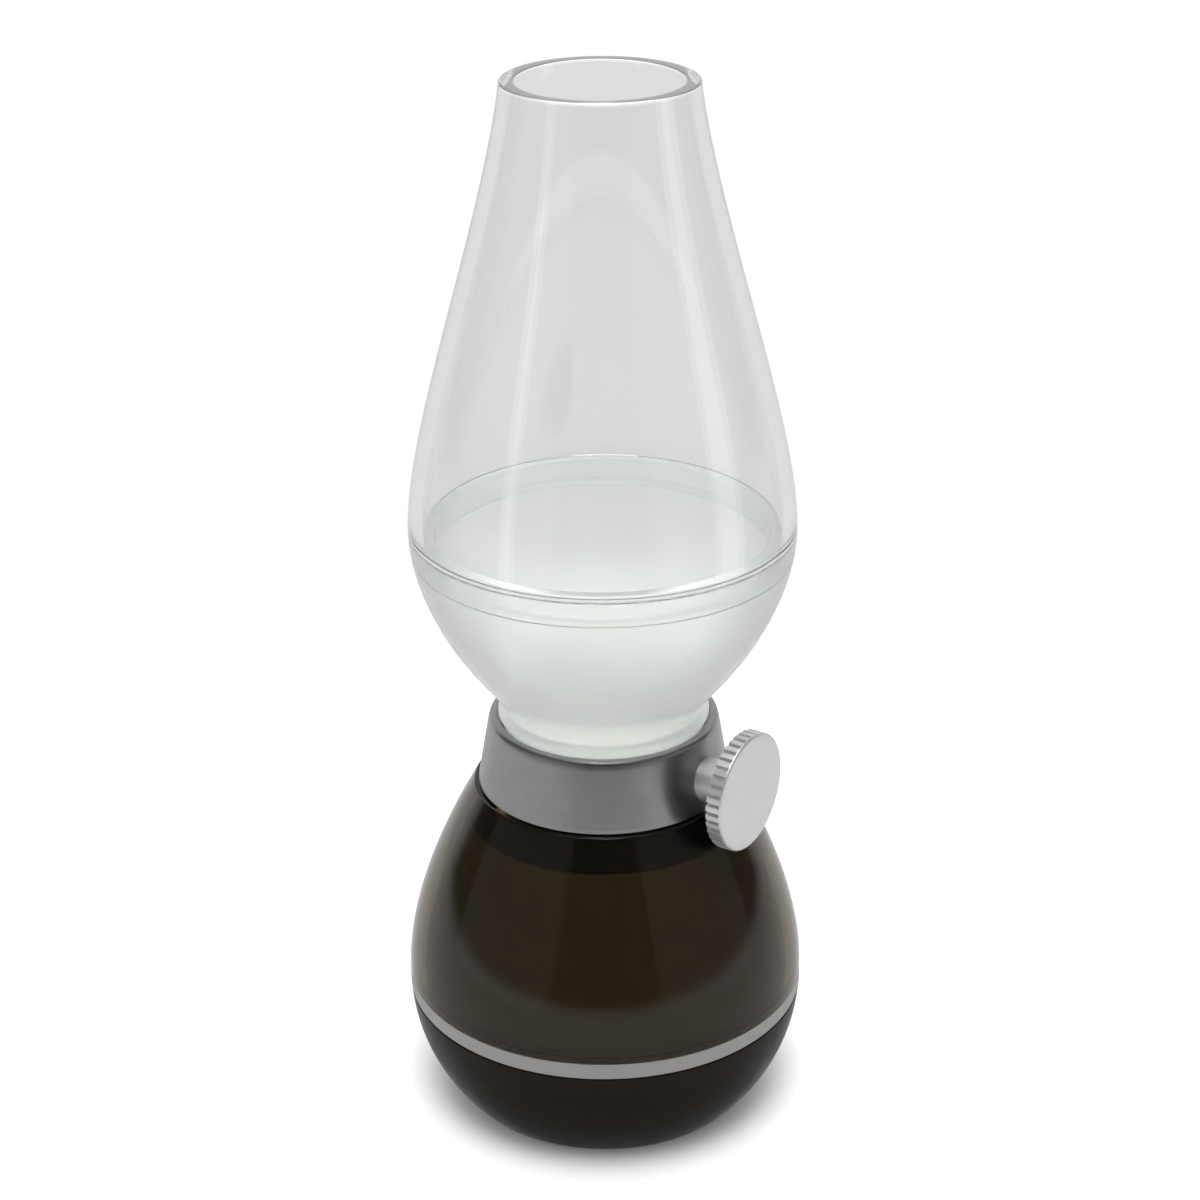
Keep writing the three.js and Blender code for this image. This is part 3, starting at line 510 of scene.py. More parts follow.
CLEAR = Finish("clear acrylic", "clear_plastic", (0.95, 0.955, 0.955), (0.94, 0.95, 0.95), (0.01, 0.03),
               transmission=1.0, pattern=Pattern.RIPPLE, scale=50, depth=0.000006, drift=40,
               glow=(PAINTED_RIM_GLOW_START, PAINTED_RIM_GLOW_FULL, 0.0, 0.2))
# The frosted finish carries a painted glow (emission), faint at the bowl's middle and growing towards the
# neck.
FROSTED = Finish("frosted acrylic", "frosted_plastic", (0.97, 0.992, 0.972), (0.955, 0.98, 0.958), (0.32, 0.4),
                 transmission=0.88, coat=0.25, coat_roughness=0.12, scale=2600, depth=0.00001, drift=55,
                 scatter=1.0, glow=(0.088, 0.066, 0.012, 0.11))
# The lip carries a faint, even painted glow (emission).
LIP = Finish("hazed acrylic", "clear_plastic", (0.975, 0.985, 0.98), (0.96, 0.975, 0.97), (0.3, 0.36),
             ior=1.12, transmission=1.0, scale=2200, depth=0.000006, drift=50, glow=(0.09, 0.1, 0.02, 0.02))
SATIN = Finish("satin aluminium", "satin_aluminium", (0.315, 0.315, 0.318), (0.29, 0.29, 0.293), (0.28, 0.35),
               metallic=1.0, pattern=Pattern.BRUSHED, scale=5200, depth=0.000006, drift=120, anisotropic=0.3)
SATIN_RING = Finish("satin ring", "satin_aluminium", (0.35, 0.34, 0.333), (0.32, 0.312, 0.305), (0.42, 0.5),
                    metallic=0.7, pattern=Pattern.BRUSHED, scale=4200, depth=0.000005, drift=110)
KNOB = Finish("pearl aluminium", "knob_aluminium", (0.71, 0.71, 0.71), (0.67, 0.67, 0.67), (0.36, 0.44),
              metallic=0.85, scale=4200, depth=0.000008, drift=140)
SMOKED = Finish("smoked acrylic", "smoked_plastic", (1.0, 1.0, 1.0), (0.98, 0.98, 0.97), (0.04, 0.06),
                ior=1.36, transmission=1.0, pattern=Pattern.RIPPLE, scale=50, depth=0.000008, drift=60,
                absorb=(0.5, 0.44, 0.3), density=900)
BRONZE = Finish("bronze lacquer", "bronze_lacquer", (0.2, 0.158, 0.09), (0.17, 0.134, 0.077), (0.42, 0.5),
                metallic=0.2, scale=3800, depth=0.000012, drift=200)
UMBER = Finish("umber plastic", "umber_plastic", (0.011, 0.0085, 0.006), (0.009, 0.007, 0.005), (0.32, 0.4),
               specular=0.08, scale=3000, depth=0.00001)
BLACK = Finish("black plastic", "black_plastic", (0.006, 0.0055, 0.005), (0.004, 0.004, 0.0037), (0.42, 0.55),
               specular=0.2)
RUBBER = Finish("foot rubber", "foot_rubber", (0.02, 0.02, 0.02), (0.012, 0.012, 0.012), (0.75, 0.9),
                scale=2500, depth=0.00004)
SILICONE = Finish("white silicone", "silicone", (0.78, 0.78, 0.76), (0.7, 0.7, 0.68), (0.5, 0.62))
STEEL = Finish("plated steel", "plated_steel", (0.56, 0.57, 0.58), (0.46, 0.47, 0.48), (0.24, 0.36),
               metallic=1.0, scale=2600, depth=0.000008)
GREEN_BOARD = Finish("board lacquer green", "board_green", (0.012, 0.1, 0.035), (0.05, 0.2, 0.07), (0.3, 0.4),
                     pattern=Pattern.TRACES, scale=160)
WHITE_BOARD = Finish("board lacquer white", "board_white", (0.8, 0.8, 0.77), (0.7, 0.7, 0.67), (0.35, 0.45),
                     pattern=Pattern.TRACES, scale=220)
POUCH = Finish("battery pouch", "cell_pouch", (0.03, 0.11, 0.34), (0.02, 0.08, 0.26), (0.3, 0.42),
               metallic=0.3, pattern=Pattern.CREASED, scale=300, depth=0.00015)
PHOSPHOR = Finish("lamp phosphor", "phosphor_yellow", (0.8, 0.56, 0.1), (0.7, 0.46, 0.07), (0.4, 0.5))
CHIP = Finish("moulded chip", "chip_black", (0.015, 0.015, 0.016), (0.01, 0.01, 0.011), (0.5, 0.6))
NYLON = Finish("white nylon", "nylon_white", (0.78, 0.76, 0.7), (0.7, 0.68, 0.62), (0.42, 0.52))
RED = Finish("red sleeve", "red_sleeve", (0.45, 0.02, 0.012), (0.36, 0.015, 0.01), (0.35, 0.45))
BLACK_SLEEVE = Finish("black sleeve", "black_sleeve", (0.012, 0.012, 0.012), (0.008, 0.008, 0.008),
                      (0.35, 0.45))


def dress(piece: Piece, finish: Finish, body: str, *nodes: str) -> Piece:
    """Gives a new piece its finish, its body and the CAD nodes that it stands for.

    Args:
        piece: the new piece.
        finish: its finish.
        body: the body that carries it.
        nodes: the CAD nodes that it replaces.

    Returns:
        The same piece.
    """
    piece.data.materials.clear()
    piece.data.materials.append(finish.material())
    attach(piece, body)
    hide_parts(*nodes)
    log.info("%s: %d faces, rides on %s, stands for %s", piece.name, len(piece.data.polygons), body, nodes)
    return piece


# ------------------------ chimney


@dataclass
class Chimney:
    """The clear chimney and the frosted bowl, which lift out together.

    Attributes:
        mouth, neck_radius: outer radii at the top and the foot.
        wall, bowl_wall, lip_wall, neck_wall: walls.
        neck_height: from the neck's foot to the bowl.
        seam_gap: between the bowl and the chimney.
        slip: between the lip and the bowl's bore.
        edge: the rounding of a rim.
        line: the depth and half-width of the line round the bowl.
    """

    mouth: float = 14.75 * MM
    neck_radius: float = 16.2 * MM
    wall: float = 2.2 * MM
    bowl_wall: float = 2.0 * MM
    lip_wall: float = 1.4 * MM
    neck_wall: float = 2.0 * MM
    neck_height: float = 5.6 * MM
    seam_gap: float = 0.2 * MM
    slip: float = 0.3 * MM
    edge: float = 0.45 * MM
    line: float = 0.16 * MM

    def __post_init__(self) -> None:
        """Reads the levels and radii, and draws the two outer lines."""
        low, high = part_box("chimney_glass")
        bowl_low, bowl_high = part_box("globe_bowl")
        self.collar_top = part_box("collar")[1].z
        self.lip_bottom, self.mouth_z, self.bulge = low.z, high.z, high.x
        self.neck_bottom, self.seam = bowl_low.z, bowl_high.z
        self.bottom = self.seam + self.seam_gap
        rise, swell = self.mouth_z - self.bottom, self.bulge - self.mouth
        self.outer = bezier(
            (self.bulge, self.bottom),
            (self.bulge, self.bottom + rise * 0.224),
            (self.mouth + swell * 0.155, self.mouth_z - rise * 0.287),
            (self.mouth, self.mouth_z), 90)
        foot = self.neck_bottom + self.neck_height
        depth, spread = self.seam - foot, self.bulge - self.neck_radius
        self.bowl_outer = bezier(
            (self.neck_radius + 0.7 * MM, foot),
            (self.neck_radius + spread * 0.486, foot + depth * 0.222),
            (self.bulge, self.seam - depth * 0.36),
            (self.bulge, self.seam), 60)
        self.bowl_inner = inset(self.bowl_outer, self.bowl_wall)

    def glass(self) -> Piece:
        """The clear chimney, down to the seam."""
        inner = inset(self.outer, self.wall)
        line = outline(
            corner(self.bulge - self.wall, self.bottom, 0.15 * MM),
            corner(self.bulge, self.bottom, 0.15 * MM),
            run(between(self.outer, self.bottom + 0.5 * MM, self.mouth_z - self.edge, 110)),
            corner(self.mouth, self.mouth_z, self.edge),
            corner(self.mouth - self.wall, self.mouth_z, self.edge),
            run(between(inner, self.bottom + 0.5 * MM, self.mouth_z - self.edge, 110)[::-1]))
        return dress(turned("chimney_clear", line), CLEAR, "chimney", "chimney_glass")

    def lip(self) -> Piece:
        """The lip under the chimney, welded inside its wall, which drops into the bowl."""
        reach = radius_at(self.bowl_inner, self.lip_bottom) - self.slip
        bore, weld = reach - self.lip_wall, self.bulge - self.wall - 0.02 * MM
        top = self.bottom + 0.4 * MM
        line = outline(
            corner(bore, self.lip_bottom, self.edge / 2),
            corner(reach, self.lip_bottom, self.edge / 2),
            corner(reach, self.bottom - 0.6 * MM, 0.3 * MM),
            corner(weld, self.bottom + 0.1 * MM, 0.1 * MM),
            corner(weld, top, 0.1 * MM),
            corner(bore, top, 0.5 * MM))
        return dress(turned("chimney_lip", line), LIP, "chimney")

    def bowl(self) -> Piece:
        """The frosted bowl, with a fine line at the lip's foot, on a short neck with a low bead round it."""
        neck, bore = self.neck_radius, self.neck_radius - self.neck_wall
        bead = self.neck_bottom + 1.7 * MM
        foot = self.bowl_outer[0, 1]
        line = outline(
            corner(bore, self.neck_bottom, 0.3 * MM),
            corner(neck - 0.2 * MM, self.neck_bottom, 0.3 * MM),
            corner(neck + 0.1 * MM, self.collar_top - 0.3 * MM, 0.1 * MM),
            corner(neck + 0.7 * MM, self.collar_top + 0.15 * MM, 0.3 * MM),
            corner(neck + 0.65 * MM, bead + 0.9 * MM, 0.5 * MM),
            corner(neck - 0.15 * MM, bead + 1.3 * MM, 0.3 * MM),
            corner(neck - 0.05 * MM, foot - 0.9 * MM, 1.2 * MM),
            run(between(self.bowl_outer, foot + 1.2 * MM, self.lip_bottom - self.line, 60)),
            corner(radius_at(self.bowl_outer, self.lip_bottom) - self.line, self.lip_bottom, 0.05 * MM),
            run(between(self.bowl_outer, self.lip_bottom + self.line, self.seam - 0.3 * MM, 20)),
            corner(self.bulge, self.seam, 0.15 * MM),
            corner(self.bulge - self.bowl_wall, self.seam, 0.15 * MM),
            run(between(self.bowl_inner, foot + 2.2 * MM, self.seam - 0.3 * MM, 60)[::-1]),
            corner(bore, foot - 0.6 * MM, 2.0 * MM))
        return dress(turned("bowl_frosted", line), FROSTED, "chimney", "globe_bowl")

    def build(self) -> None:
        """Makes the three pieces."""
        self.glass()
        self.lip()
        self.bowl()


# ------------------------ head


@dataclass
class Collar:
    """The satin collar with its rolled lip and the hole for the knob's boss.

    Attributes:
        crown: the outer radius at the top.
        wall, lip: the wall, and the width of the rolled lip.
        boss, gap: the radius of the knob's boss, and the play round it.
        hole_start, hole_end: where the hole's cutter begins and ends along X.
    """

    crown: float = 18.3 * MM
    wall: float = 1.5 * MM
    lip: float = 1.7 * MM
    boss: float = 3.6 * MM
    gap: float = 0.4 * MM
    hole_start: float = 0.010
    hole_end: float = 0.030

    def build(self) -> Piece:
        """Turns the collar and cuts its hole."""
        low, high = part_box("collar")
        knob_low, knob_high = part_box("knob_wheel")
        base, top, bottom, crown = high.x, high.z, low.z, self.crown
        throat = crown - self.lip
        slope = (crown - base) / (top - bottom)
        line = outline(
            corner(base - self.wall, bottom, 0.15 * MM),
            corner(base, bottom, 0.25 * MM),
            corner(crown - slope * 1.2 * MM, top - 1.2 * MM, 0.6 * MM),
            corner(crown - 0.05 * MM, top - 0.3 * MM, 0.4 * MM),
            corner(crown - 0.6 * MM, top, 0.45 * MM),
            corner(throat + 0.45 * MM, top, 0.4 * MM),
            corner(throat, top - 0.5 * MM, 0.4 * MM),
            corner(throat, top - 3.0 * MM, 0.3 * MM),
            corner(base + slope * (top - bottom - 4.6 * MM) - self.wall, top - 4.6 * MM, 0.3 * MM),
            pitch=0.0007)
        centre = (knob_low.z + knob_high.z) / 2
        reach = self.boss + self.gap
        side = np.array([[0, self.hole_start], [reach, self.hole_start], [reach, self.hole_end],
                         [0, self.hole_end]])
        hole = turned("boss_cutter", side, closed=False, around=96, spin=Spin.OUTWARD, centre=centre)
        hole.data.flip_normals()
        piece = carve(turned("collar_satin", line, around=256), hole)
        return dress(piece, SATIN, "base", "collar")


@dataclass
class LampHead:
    """The shallow diffuser over the lamp board, with its wall and the radius of its sound hole."""

    wall: float = 1.2 * MM
    port: float = 1.5 * MM

    def build(self) -> None:
        """Turns the diffuser: a shallow dome (R cos a, z + h sin a) with a small sound hole."""
        low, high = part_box("led_diffuser")
        outer = high.x
        end = math.acos(self.port / outer)
        rise = (high.z - low.z) / math.sin(end)
        angle = np.linspace(0, end, 40)[:, None]
        outside = np.hstack([outer * np.cos(angle), low.z + rise * np.sin(angle)])
        inner, inner_rise = outer - self.wall, rise - self.wall
        angle = np.linspace(0, math.acos(self.port / inner), 40)[::-1][:, None]
        inside = np.hstack([inner * np.cos(angle), low.z + inner_rise * np.sin(angle)])
        line = outline(run(outside), run(inside), pitch=0.0008)
        # The dome takes the frosted finish, with its painted glow (emission).
        dress(turned("diffuser_dome", line, around=128), FROSTED, "base", "led_diffuser")


# ------------------------ knob


@dataclass
class Knob:
    """The knurled dimmer knob, turned round the lamp's +X line.

    Attributes:
        ridges, steps: how many ridges, and how many steps to each.
        groove: the depth between two ridges.
        thickness: the wheel, without its boss.
        boss, bore: the radii of the boss and of the shaft's hole.
        flank_start, flank_width: where a groove's flank begins and how wide it is, as shares of a ridge.
    """

    ridges: int = 40
    groove: float = 0.7 * MM
    thickness: float = 3.0 * MM
    boss: float = 3.6 * MM
    bore: float = 2.25 * MM
    steps: int = 16
    flank_start: float = 0.27
    flank_width: float = 0.11

    def build(self) -> Piece:
        """Turns the knob and presses its grooves into the rim.

        The groove's depth at an angle a is groove * s((|frac(n a / 2 pi) - 0.5| - 0.27) / 0.11), with s the
        smooth step, times a window that fades out behind the face."""
        low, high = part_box("knob_wheel")
        centre, reach = (low.z + high.z) / 2, (high.z - low.z) / 2
        back, face = high.x - self.thickness, high.x
        rim_face = face - 0.45 * MM
        line = outline(
            corner(0, back + 0.5 * MM), corner(self.bore, back + 0.5 * MM, 0.1 * MM),
            corner(self.bore, low.x, 0.1 * MM), corner(self.boss, low.x, 0.25 * MM),
            corner(self.boss, back, 0.6 * MM), corner(reach - 0.1 * MM, back, 0.3 * MM),
            corner(reach, back + 0.25 * MM, 0.2 * MM), corner(reach, rim_face, 0.25 * MM),
            corner(reach - 0.3 * MM, rim_face + 0.22 * MM, 0.3 * MM),
            run(self._face(reach - 0.9 * MM, rim_face + 0.3 * MM, face)),
            corner(0, face), pitch=0.0005, closed=False)
        around = self.ridges * self.steps
        share = np.abs((np.arange(around) / self.steps) % 1 - 0.5)
        tooth = np.clip((share - self.flank_start) / self.flank_width, 0, 1)
        tooth = tooth * tooth * (3 - 2 * tooth)
        far = np.clip((line[:, 0] - (reach - 1.0 * MM)) / (0.5 * MM), 0, 1)
        behind = np.clip((rim_face - 0.12 * MM - line[:, 1]) / (0.18 * MM), 0, 1)
        relief = self.groove * (far * behind)[:, None] * tooth[None, :]
        piece = turned("knob_knurled", line, closed=False, around=around, spin=Spin.OUTWARD,
                       centre=centre, relief=relief, sharp=50)
        return dress(piece, KNOB, "knob", "knob_wheel")

    def _face(self, radius: float, rim: float, top: float) -> Rows:
        """The gently crowned face, x = top - (top - rim) (r / R)^2.4, from its edge towards the middle."""
        r = np.linspace(radius, radius * 0.03, 26)
        return np.stack([r, top - (top - rim) * (r / radius) ** 2.4], axis=1)


# ------------------------ reservoir


@dataclass
class Reservoir:
    """The smoked shell, the lacquered liner behind it and the trim ring under it.

    Attributes:
        wall, liner_wall: walls.
        gap: between the shell and the liner.
        bore: the radius of the hole in the liner's top.
        step: from the collar's foot out to the shell's shoulder.
        skirt_gap, skirt_wall, skirt_lift: the thin skirt that hides the pan's rim: its distance from the
            shell's bore, its wall and its height over the shell's foot.
        edge: the rounding of the ring.
    """

    wall: float = 2.2 * MM
    gap: float = 0.4 * MM
    liner_wall: float = 1.2 * MM
    bore: float = 16.0 * MM
    step: float = 0.6 * MM
    skirt_gap: float = 0.08 * MM
    skirt_wall: float = 0.13 * MM
    skirt_lift: float = 0.05 * MM
    edge: float = 0.25 * MM

    def __post_init__(self) -> None:
        """Reads the levels and draws the shell's outer line."""
        low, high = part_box("reservoir_shell")
        self.bottom, self.top, self.radius = low.z, high.z, high.x
        self.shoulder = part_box("collar")[1].x + self.step
        rise, spread = self.top - self.bottom, self.radius - self.shoulder
        self.outer = bezier(
            (self.radius, self.bottom),
            (self.radius, self.bottom + rise * 0.32),
            (self.shoulder + spread * 0.48, self.top - rise * 0.28),
            (self.shoulder, self.top), 80)

    def shell(self) -> Piece:
        """The smoked outer shell."""
        inner = inset(self.outer, self.wall)
        line = outline(
            corner(self.radius - self.wall, self.bottom, 0.15 * MM),
            corner(self.radius, self.bottom, 0.15 * MM),
            run(between(self.outer, self.bottom + 0.4 * MM, self.top - 0.4 * MM, 90)),
            corner(self.shoulder, self.top, 0.3 * MM),
            corner(inner[-1, 0], self.top, 0.2 * MM),
            run(between(inner, self.bottom + 0.4 * MM, inner[-1, 1], 90)[::-1]))
        return dress(turned("reservoir_smoked", line), SMOKED, "base", "reservoir_shell")

    def liner(self) -> Piece:
        """The lacquered liner that stands a hair inside the shell."""
        low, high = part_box("reservoir_liner")
        outside = inset(self.outer, self.wall + self.gap)
        inside = inset(self.outer, self.wall + self.gap + self.liner_wall)
        skirt, foot = self.radius - self.wall - self.skirt_gap, self.bottom + self.skirt_lift
        line = outline(
            corner(skirt - self.skirt_wall, foot),
            corner(skirt, foot),
            corner(skirt, low.z + 0.2 * MM, 0.1 * MM),
            run(between(outside, low.z + 0.6 * MM, high.z - 0.3 * MM, 70)),
            corner(radius_at(outside, high.z), high.z, 0.2 * MM),
            corner(self.bore, high.z, 0.1 * MM),
            corner(self.bore, high.z - self.liner_wall, 0.1 * MM),
            run(between(inside, low.z + 0.3 * MM, high.z - self.liner_wall - 0.1 * MM, 60)[::-1]),
            corner(radius_at(inside, low.z), low.z),
            corner(skirt - self.skirt_wall, low.z))
        return dress(turned("reservoir_lacquered", line), BRONZE, "base", "reservoir_liner")

    def ring(self) -> Piece:
        """The satin ring between the shell and the pan."""
        low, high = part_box("trim_ring")
        inner = self.radius - self.wall - 0.1 * MM
        line = outline(
            corner(inner, low.z, 0.1 * MM), corner(high.x, low.z, self.edge),
            corner(high.x, high.z, self.edge), corner(inner, high.z, 0.1 * MM), pitch=0.0005)
        return dress(turned("ring_satin", line, around=256), SATIN_RING, "base", "trim_ring")

    def build(self) -> None:
        """Makes the three pieces."""
        self.shell()
        self.liner()
        self.ring()


# ------------------------ base


@dataclass
class Base:
    """The round pan, with the charging port at its back, and the rubber foot ring.

    Attributes:
        foot_radius: the outer radius at the pan's foot.
        foot_drop: how far the pan's foot stands below the CAD pan's.
        wall, pad_width: the pan's wall, and the width of the foot ring.
        port_margin: the pocket's border round the charging port.
        seat, slip: clearances between stacked and between sliding parts.
    """

    foot_radius: float = 24.4 * MM
    foot_drop: float = 0.5 * MM
    wall: float = 2.2 * MM
    pad_width: float = 6.6 * MM
    port_margin: float = 1.7 * MM
    seat: float = 0.2 * MM
    slip: float = 0.3 * MM

    def pan(self) -> Piece:
        """The pan, r(z) = R sqrt(1 - ((waist - z) / drop)^2), with the port's pocket and the light hole."""
        low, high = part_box("base_pan")
        ring_low, ring_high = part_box("trim_ring")
        bottom, foot_radius = low.z - self.foot_drop, self.foot_radius
        radius, top = ring_high.x, ring_low.z - self.seat
        waist = (ring_low.z + ring_high.z) / 2 + self.seat
        drop = (waist - bottom) / math.sqrt(1 - (foot_radius / radius) ** 2)
        hole = foot_radius - self.wall + self.seat
        heights = np.linspace(bottom + 0.5 * MM, top - 0.3 * MM, 60)
        outside = np.stack([radius * np.sqrt(1 - ((waist - heights) / drop) ** 2), heights], axis=1)
        inner_heights = np.linspace(bottom + 4.2 * MM, top - 4 * MM, 24)
        fall = (waist - inner_heights) / (drop - self.wall)
        inside = np.stack([(radius - self.wall) * np.sqrt(1 - fall ** 2), inner_heights], axis=1)
        spigot = radius - self.wall - self.slip
        line = outline(
            corner(hole, bottom, 0.2 * MM), corner(foot_radius, bottom, 0.4 * MM), run(outside),
            corner(radius * math.sqrt(1 - ((waist - top) / drop) ** 2), top, 0.25 * MM),
            corner(spigot, top), corner(spigot, high.z, 0.2 * MM),
            corner(spigot - self.wall, high.z, 0.2 * MM), corner(spigot - self.wall, top - 1.8 * MM),
            run(inside[::-1]), corner(hole, bottom + self.wall))
        piece = carve(turned("pan_umber", line, around=256), *self._port_cutters(radius + 2 * MM))
        return dress(piece, UMBER, "base", "base_pan")

    def _port_cutters(self, outer: float) -> tuple[Piece, ...]:
        """Cutters that reach out to `outer`: the port's hole, its pocket and the light hole beside it."""
        socket_low, socket_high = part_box("charge_socket")
        middle = (socket_low.z + socket_high.z) / 2
        width, height = socket_high.x - socket_low.x, socket_high.z - socket_low.z
        pipe_low, pipe_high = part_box("charge_light_pipe")
        play, margin = 2 * self.slip, 2 * self.port_margin
        pipe = pipe_high.x - pipe_low.x + play
        pipe_middle = (pipe_low.x + pipe_high.x) / 2
        return (
            slot_bar("hole_cutter", width + play, height + play, socket_high.y - 4 * MM, outer, (0, middle)),
            slot_bar("pocket_cutter", width + margin, height + margin, socket_high.y + self.slip, outer,
                     (0, middle)),
            slot_bar("pipe_cutter", pipe, pipe, socket_high.y - 6 * MM, outer, (pipe_middle, middle)))

    def foot(self) -> Piece:
        """The rubber foot ring with softened edges."""
        low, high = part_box("foot_pad")
        outer, inner = high.x, high.x - self.pad_width
        line = outline(
            corner(inner, low.z, 0.2 * MM), corner(outer, low.z, 0.3 * MM),
            corner(outer, high.z, 0.1 * MM), corner(inner, high.z, 0.1 * MM), pitch=0.0008)
        return dress(turned("foot_ring", line), RUBBER, "base", "foot_pad")

    def build(self) -> None:
        """Makes the pan and the foot."""
        self.pan()
        self.foot()


# ------------------------ CAD nodes that stay


CARRIED: dict[Finish, tuple[str, ...]] = {
    BLACK: ("neck_frame", "battery_tray"),
    SILICONE: ("neck_gasket",),
    WHITE_BOARD: ("led_board",),
    STEEL: ("blow_microphone", "dimmer_shaft", "dimmer_body", "dimmer_bush", "ballast_disc", "charge_socket",
            "plate_screw_1", "plate_screw_2", "plate_screw_3", "board_screw_1", "board_screw_2",
            "board_screw_3", "neck_screw_1", "neck_screw_2", "neck_screw_3"),
    GREEN_BOARD: ("main_board", "dimmer_board"),
    UMBER: ("base_plate",),
    POUCH: ("battery_cell",),
    CLEAR: ("charge_light_pipe",),
    PHOSPHOR: ("led_1", "led_2", "led_3", "led_4", "charge_led"),
    CHIP: ("driver_chip", "power_inductor"),
    NYLON: ("battery_plug",),
    RED: ("battery_lead_red", "lamp_lead_1", "lamp_lead_3"),
    BLACK_SLEEVE: ("battery_lead_black", "lamp_lead_2", "lamp_lead_4"),
}


def dress_carried() -> None:
    """Gives every CAD node that stays its finish."""
    for finish, names in CARRIED.items():
        for name in names:
            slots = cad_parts[name].data.materials
            slots.clear()
            slots.append(finish.material())
        log.info("%s on %d CAD nodes", finish.name, len(names))


# ------------------------ studio


@dataclass
class Softbox:
    """A rectangular light on a stand, which points at the lamp.

    Attributes:
        name: the light's name.
        azimuth, elevation: the direction it stands in, in degrees.
        distance, width, height: in metres.
        watts: its power.
        only: the one piece that it lights, or nothing if it lights them all.
    """

    name: str
    azimuth: float
    elevation: float
    distance: float
    width: float
    height: float
    watts: float
    only: str | None = None

    def build(self, target: Vector) -> Piece:
        """Hangs the light round the target that it faces."""
        a, e = math.radians(self.azimuth), math.radians(self.elevation)
        away = Vector((math.sin(a) * math.cos(e), -math.cos(a) * math.cos(e), math.sin(e)))
        light = bpy.data.lights.new(self.name, "AREA")
        light.shape, light.size, light.size_y, light.energy = "RECTANGLE", self.width, self.height, self.watts
        lamp = bpy.data.objects.new(self.name, light)
        lamp.location = target + away * self.distance
        lamp.rotation_euler = (-away).to_track_quat("-Z", "Y").to_euler()
        lamp.visible_camera = False
        bpy.context.scene.collection.objects.link(lamp)
        if self.only:
            lit = bpy.data.collections.new(f"{self.name}_lights")
            lit.objects.link(bpy.data.objects[self.only])
            lamp.light_linking.receiver_collection = lit
        return lamp


@dataclass(frozen=True)
class Lobe:
    """Light from one side of the sky: strength times the smooth step of (d . towards) from start to full."""

    towards: tuple[float, float, float]
    start: float
    full: float
    strength: float

    def socket(self, tree: Tree, place: Socket) -> Socket:
        """Adds the lobe's nodes and gives its brightness in the direction `place`."""
        dot = tree.nodes.new("ShaderNodeVectorMath")
        dot.operation = "DOT_PRODUCT"
        dot.inputs[1].default_value = self.towards
        tree.links.new(place, dot.inputs[0])
        return ramp(tree, dot.outputs["Value"], (self.start, self.full), (0.0, self.strength))


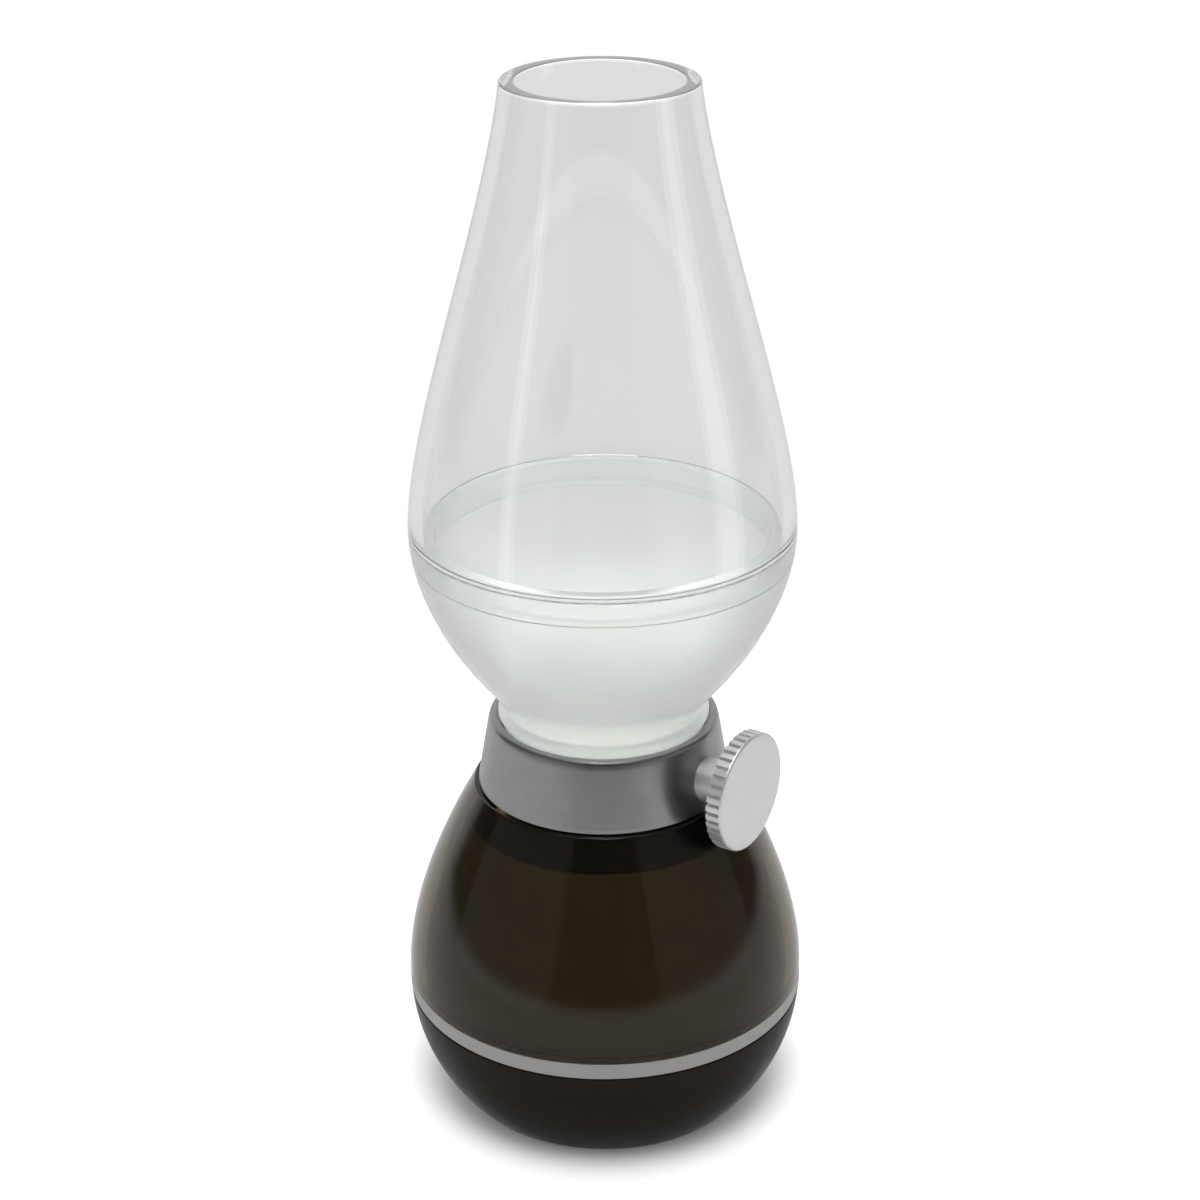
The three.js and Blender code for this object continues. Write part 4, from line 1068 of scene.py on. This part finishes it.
@dataclass
class Studio:
    """The floor, the light round it and the camera.

    Attributes:
        azimuth: the side that the camera stands on, in degrees.
        lens: the focal length, in millimetres.
        back, height: how far out and how high the camera stands.
        pitch, turn, roll: how it is tilted down, swung and rolled, in degrees.
        table: the radius of the table.
        pale: the surround behind and below the lamp, and all round for light seen through a clear wall.
        room: extra light on matt surfaces, as from a white room.
        ambient: the least brightness that a reflection meets.
        backdrop: the brightness that the camera sees.
        boxes: the lights.
    """

    azimuth: float = 33.0
    lens: float = 81.93
    back: float = 0.3911
    height: float = 0.2646
    pitch: float = 24.4
    turn: float = 0.07
    roll: float = -0.37
    table: float = 0.16
    pale: float = 0.76
    room: float = 0.65
    ambient: float = 0.085
    backdrop: float = 1.0
    boxes: tuple[Softbox, ...] = field(default_factory=lambda: (
        Softbox("softbox_left", -30.0, 12.0, 0.8, 1.08, 0.8, 0.6),
        Softbox("softbox_right", 96.0, 12.0, 0.8, 1.08, 0.8, 0.6),
        Softbox("softbox_top", 33.0, 68.0, 0.8, 0.35, 0.35, 2.4),
        Softbox("strip_left", -24.0, 2.0, 0.8, 0.1, 0.7, 0.25, "chimney_clear"),
        Softbox("strip_right", 112.0, 2.0, 0.8, 0.25, 0.7, 0.6, "chimney_clear"),
    ))

    def floor(self) -> None:
        """A round pale table under the foot."""
        line = np.array([[0, -0.02], [self.table, -0.02], [self.table, 0], [0, 0]])
        plane = turned("floor", line, closed=False, around=128)
        finish = Finish("studio floor", "none", (0.93, 0.93, 0.93), (0.91, 0.91, 0.91), (0.6, 0.7),
                        specular=0.1, scale=400, depth=0.00001, drift=3)
        plane.data.materials.append(finish.material())
        # The polished shell mirrors the dim surround, not the bright table that it stands on.
        plane.visible_glossy = False

    def world(self) -> None:
        """A soft surround: bright behind the lamp and overhead, dim on the camera's side."""
        world = bpy.data.worlds.new("studio")
        world.use_nodes = True
        tree = world.node_tree
        sky = tree.nodes["Background"]
        path = tree.nodes.new("ShaderNodeLightPath").outputs
        even = self._math(tree, "MULTIPLY_ADD", path["Is Diffuse Ray"], self.room, self._surround(tree))
        through = self._switch(tree, path["Is Transmission Ray"], even, self.pale)
        seen = self._switch(tree, path["Is Camera Ray"], through, self.backdrop)
        tree.links.new(seen, sky.inputs["Strength"])
        sky.inputs["Color"].default_value = (1, 1, 1, 1)
        bpy.context.scene.world = world

    def _surround(self, tree: Tree) -> Socket:
        """What a reflection meets: the larger of behind and below, plus the other lobes and the ambient."""
        place = tree.nodes.new("ShaderNodeTexCoord").outputs["Generated"]
        a = math.radians(self.azimuth)
        behind = Lobe((-math.sin(a), math.cos(a), 0.0), 0.42, 0.62, self.pale).socket(tree, place)
        below = Lobe((0.0, 0.0, -1.0), 0.07, 0.17, self.pale).socket(tree, place)
        above = Lobe((0.0, 0.0, 1.0), 0.87, 0.95, 3.6).socket(tree, place)
        under = Lobe((0.0, 0.0, -1.0), 0.6, 0.85, -0.55).socket(tree, place)
        total = self._math(tree, "MAXIMUM", behind, below)
        for part in (above, under, self.ambient):
            total = self._math(tree, "ADD", total, part)
        return total

    @staticmethod
    def _math(tree: Tree, operation: str,
              *terms: Socket | float) -> Socket:
        """The result of a maths node on sockets or numbers, in the node's own order."""
        node = tree.nodes.new("ShaderNodeMath")
        node.operation = operation
        for socket, term in zip(node.inputs, terms):
            if isinstance(term, float):
                socket.default_value = term
            else:
                tree.links.new(term, socket)
        return node.outputs[0]

    @staticmethod
    def _switch(tree: Tree, test: Socket, usual: Socket,
                instead: float) -> Socket:
        """The usual value where the test is 0, and the other number where it is 1."""
        mix = tree.nodes.new("ShaderNodeMix")
        tree.links.new(test, mix.inputs[0])
        tree.links.new(usual, mix.inputs[2])
        mix.inputs[3].default_value = instead
        return mix.outputs[0]

    def camera(self) -> None:
        """The camera, a little above the lamp and looking down at it."""
        data = bpy.data.cameras.new("camera")
        data.lens, data.sensor_width, data.clip_start = self.lens, 36.0, 0.01
        camera = bpy.data.objects.new("camera", data)
        a = math.radians(self.azimuth)
        turn = (Matrix.Rotation(a + math.radians(self.turn), 4, "Z")
                @ Matrix.Rotation(math.radians(90 - self.pitch), 4, "X")
                @ Matrix.Rotation(math.radians(self.roll), 4, "Z"))
        place = (math.sin(a) * self.back, -math.cos(a) * self.back, self.height)
        camera.matrix_world = Matrix.Translation(place) @ turn
        bpy.context.scene.collection.objects.link(camera)
        bpy.context.scene.camera = camera

    def build(self) -> None:
        """Sets up the floor, the light and the camera."""
        self.floor()
        self.world()
        self.camera()
        low, high = CAD_BOUNDS
        for box in self.boxes:
            box.build((low + high) / 2)
        bpy.context.scene.view_settings.view_transform = "Standard"


# ------------------------ assembly


def main() -> None:
    """Builds the lantern, sub-assembly by sub-assembly, and the studio round it."""
    logging.basicConfig(level=logging.INFO, format="%(name)s: %(message)s")
    Chimney().build()
    Collar().build()
    LampHead().build()
    Knob().build()
    Reservoir().build()
    Base().build()
    dress_carried()
    Studio().build()


if __name__ == "__main__":
    main()
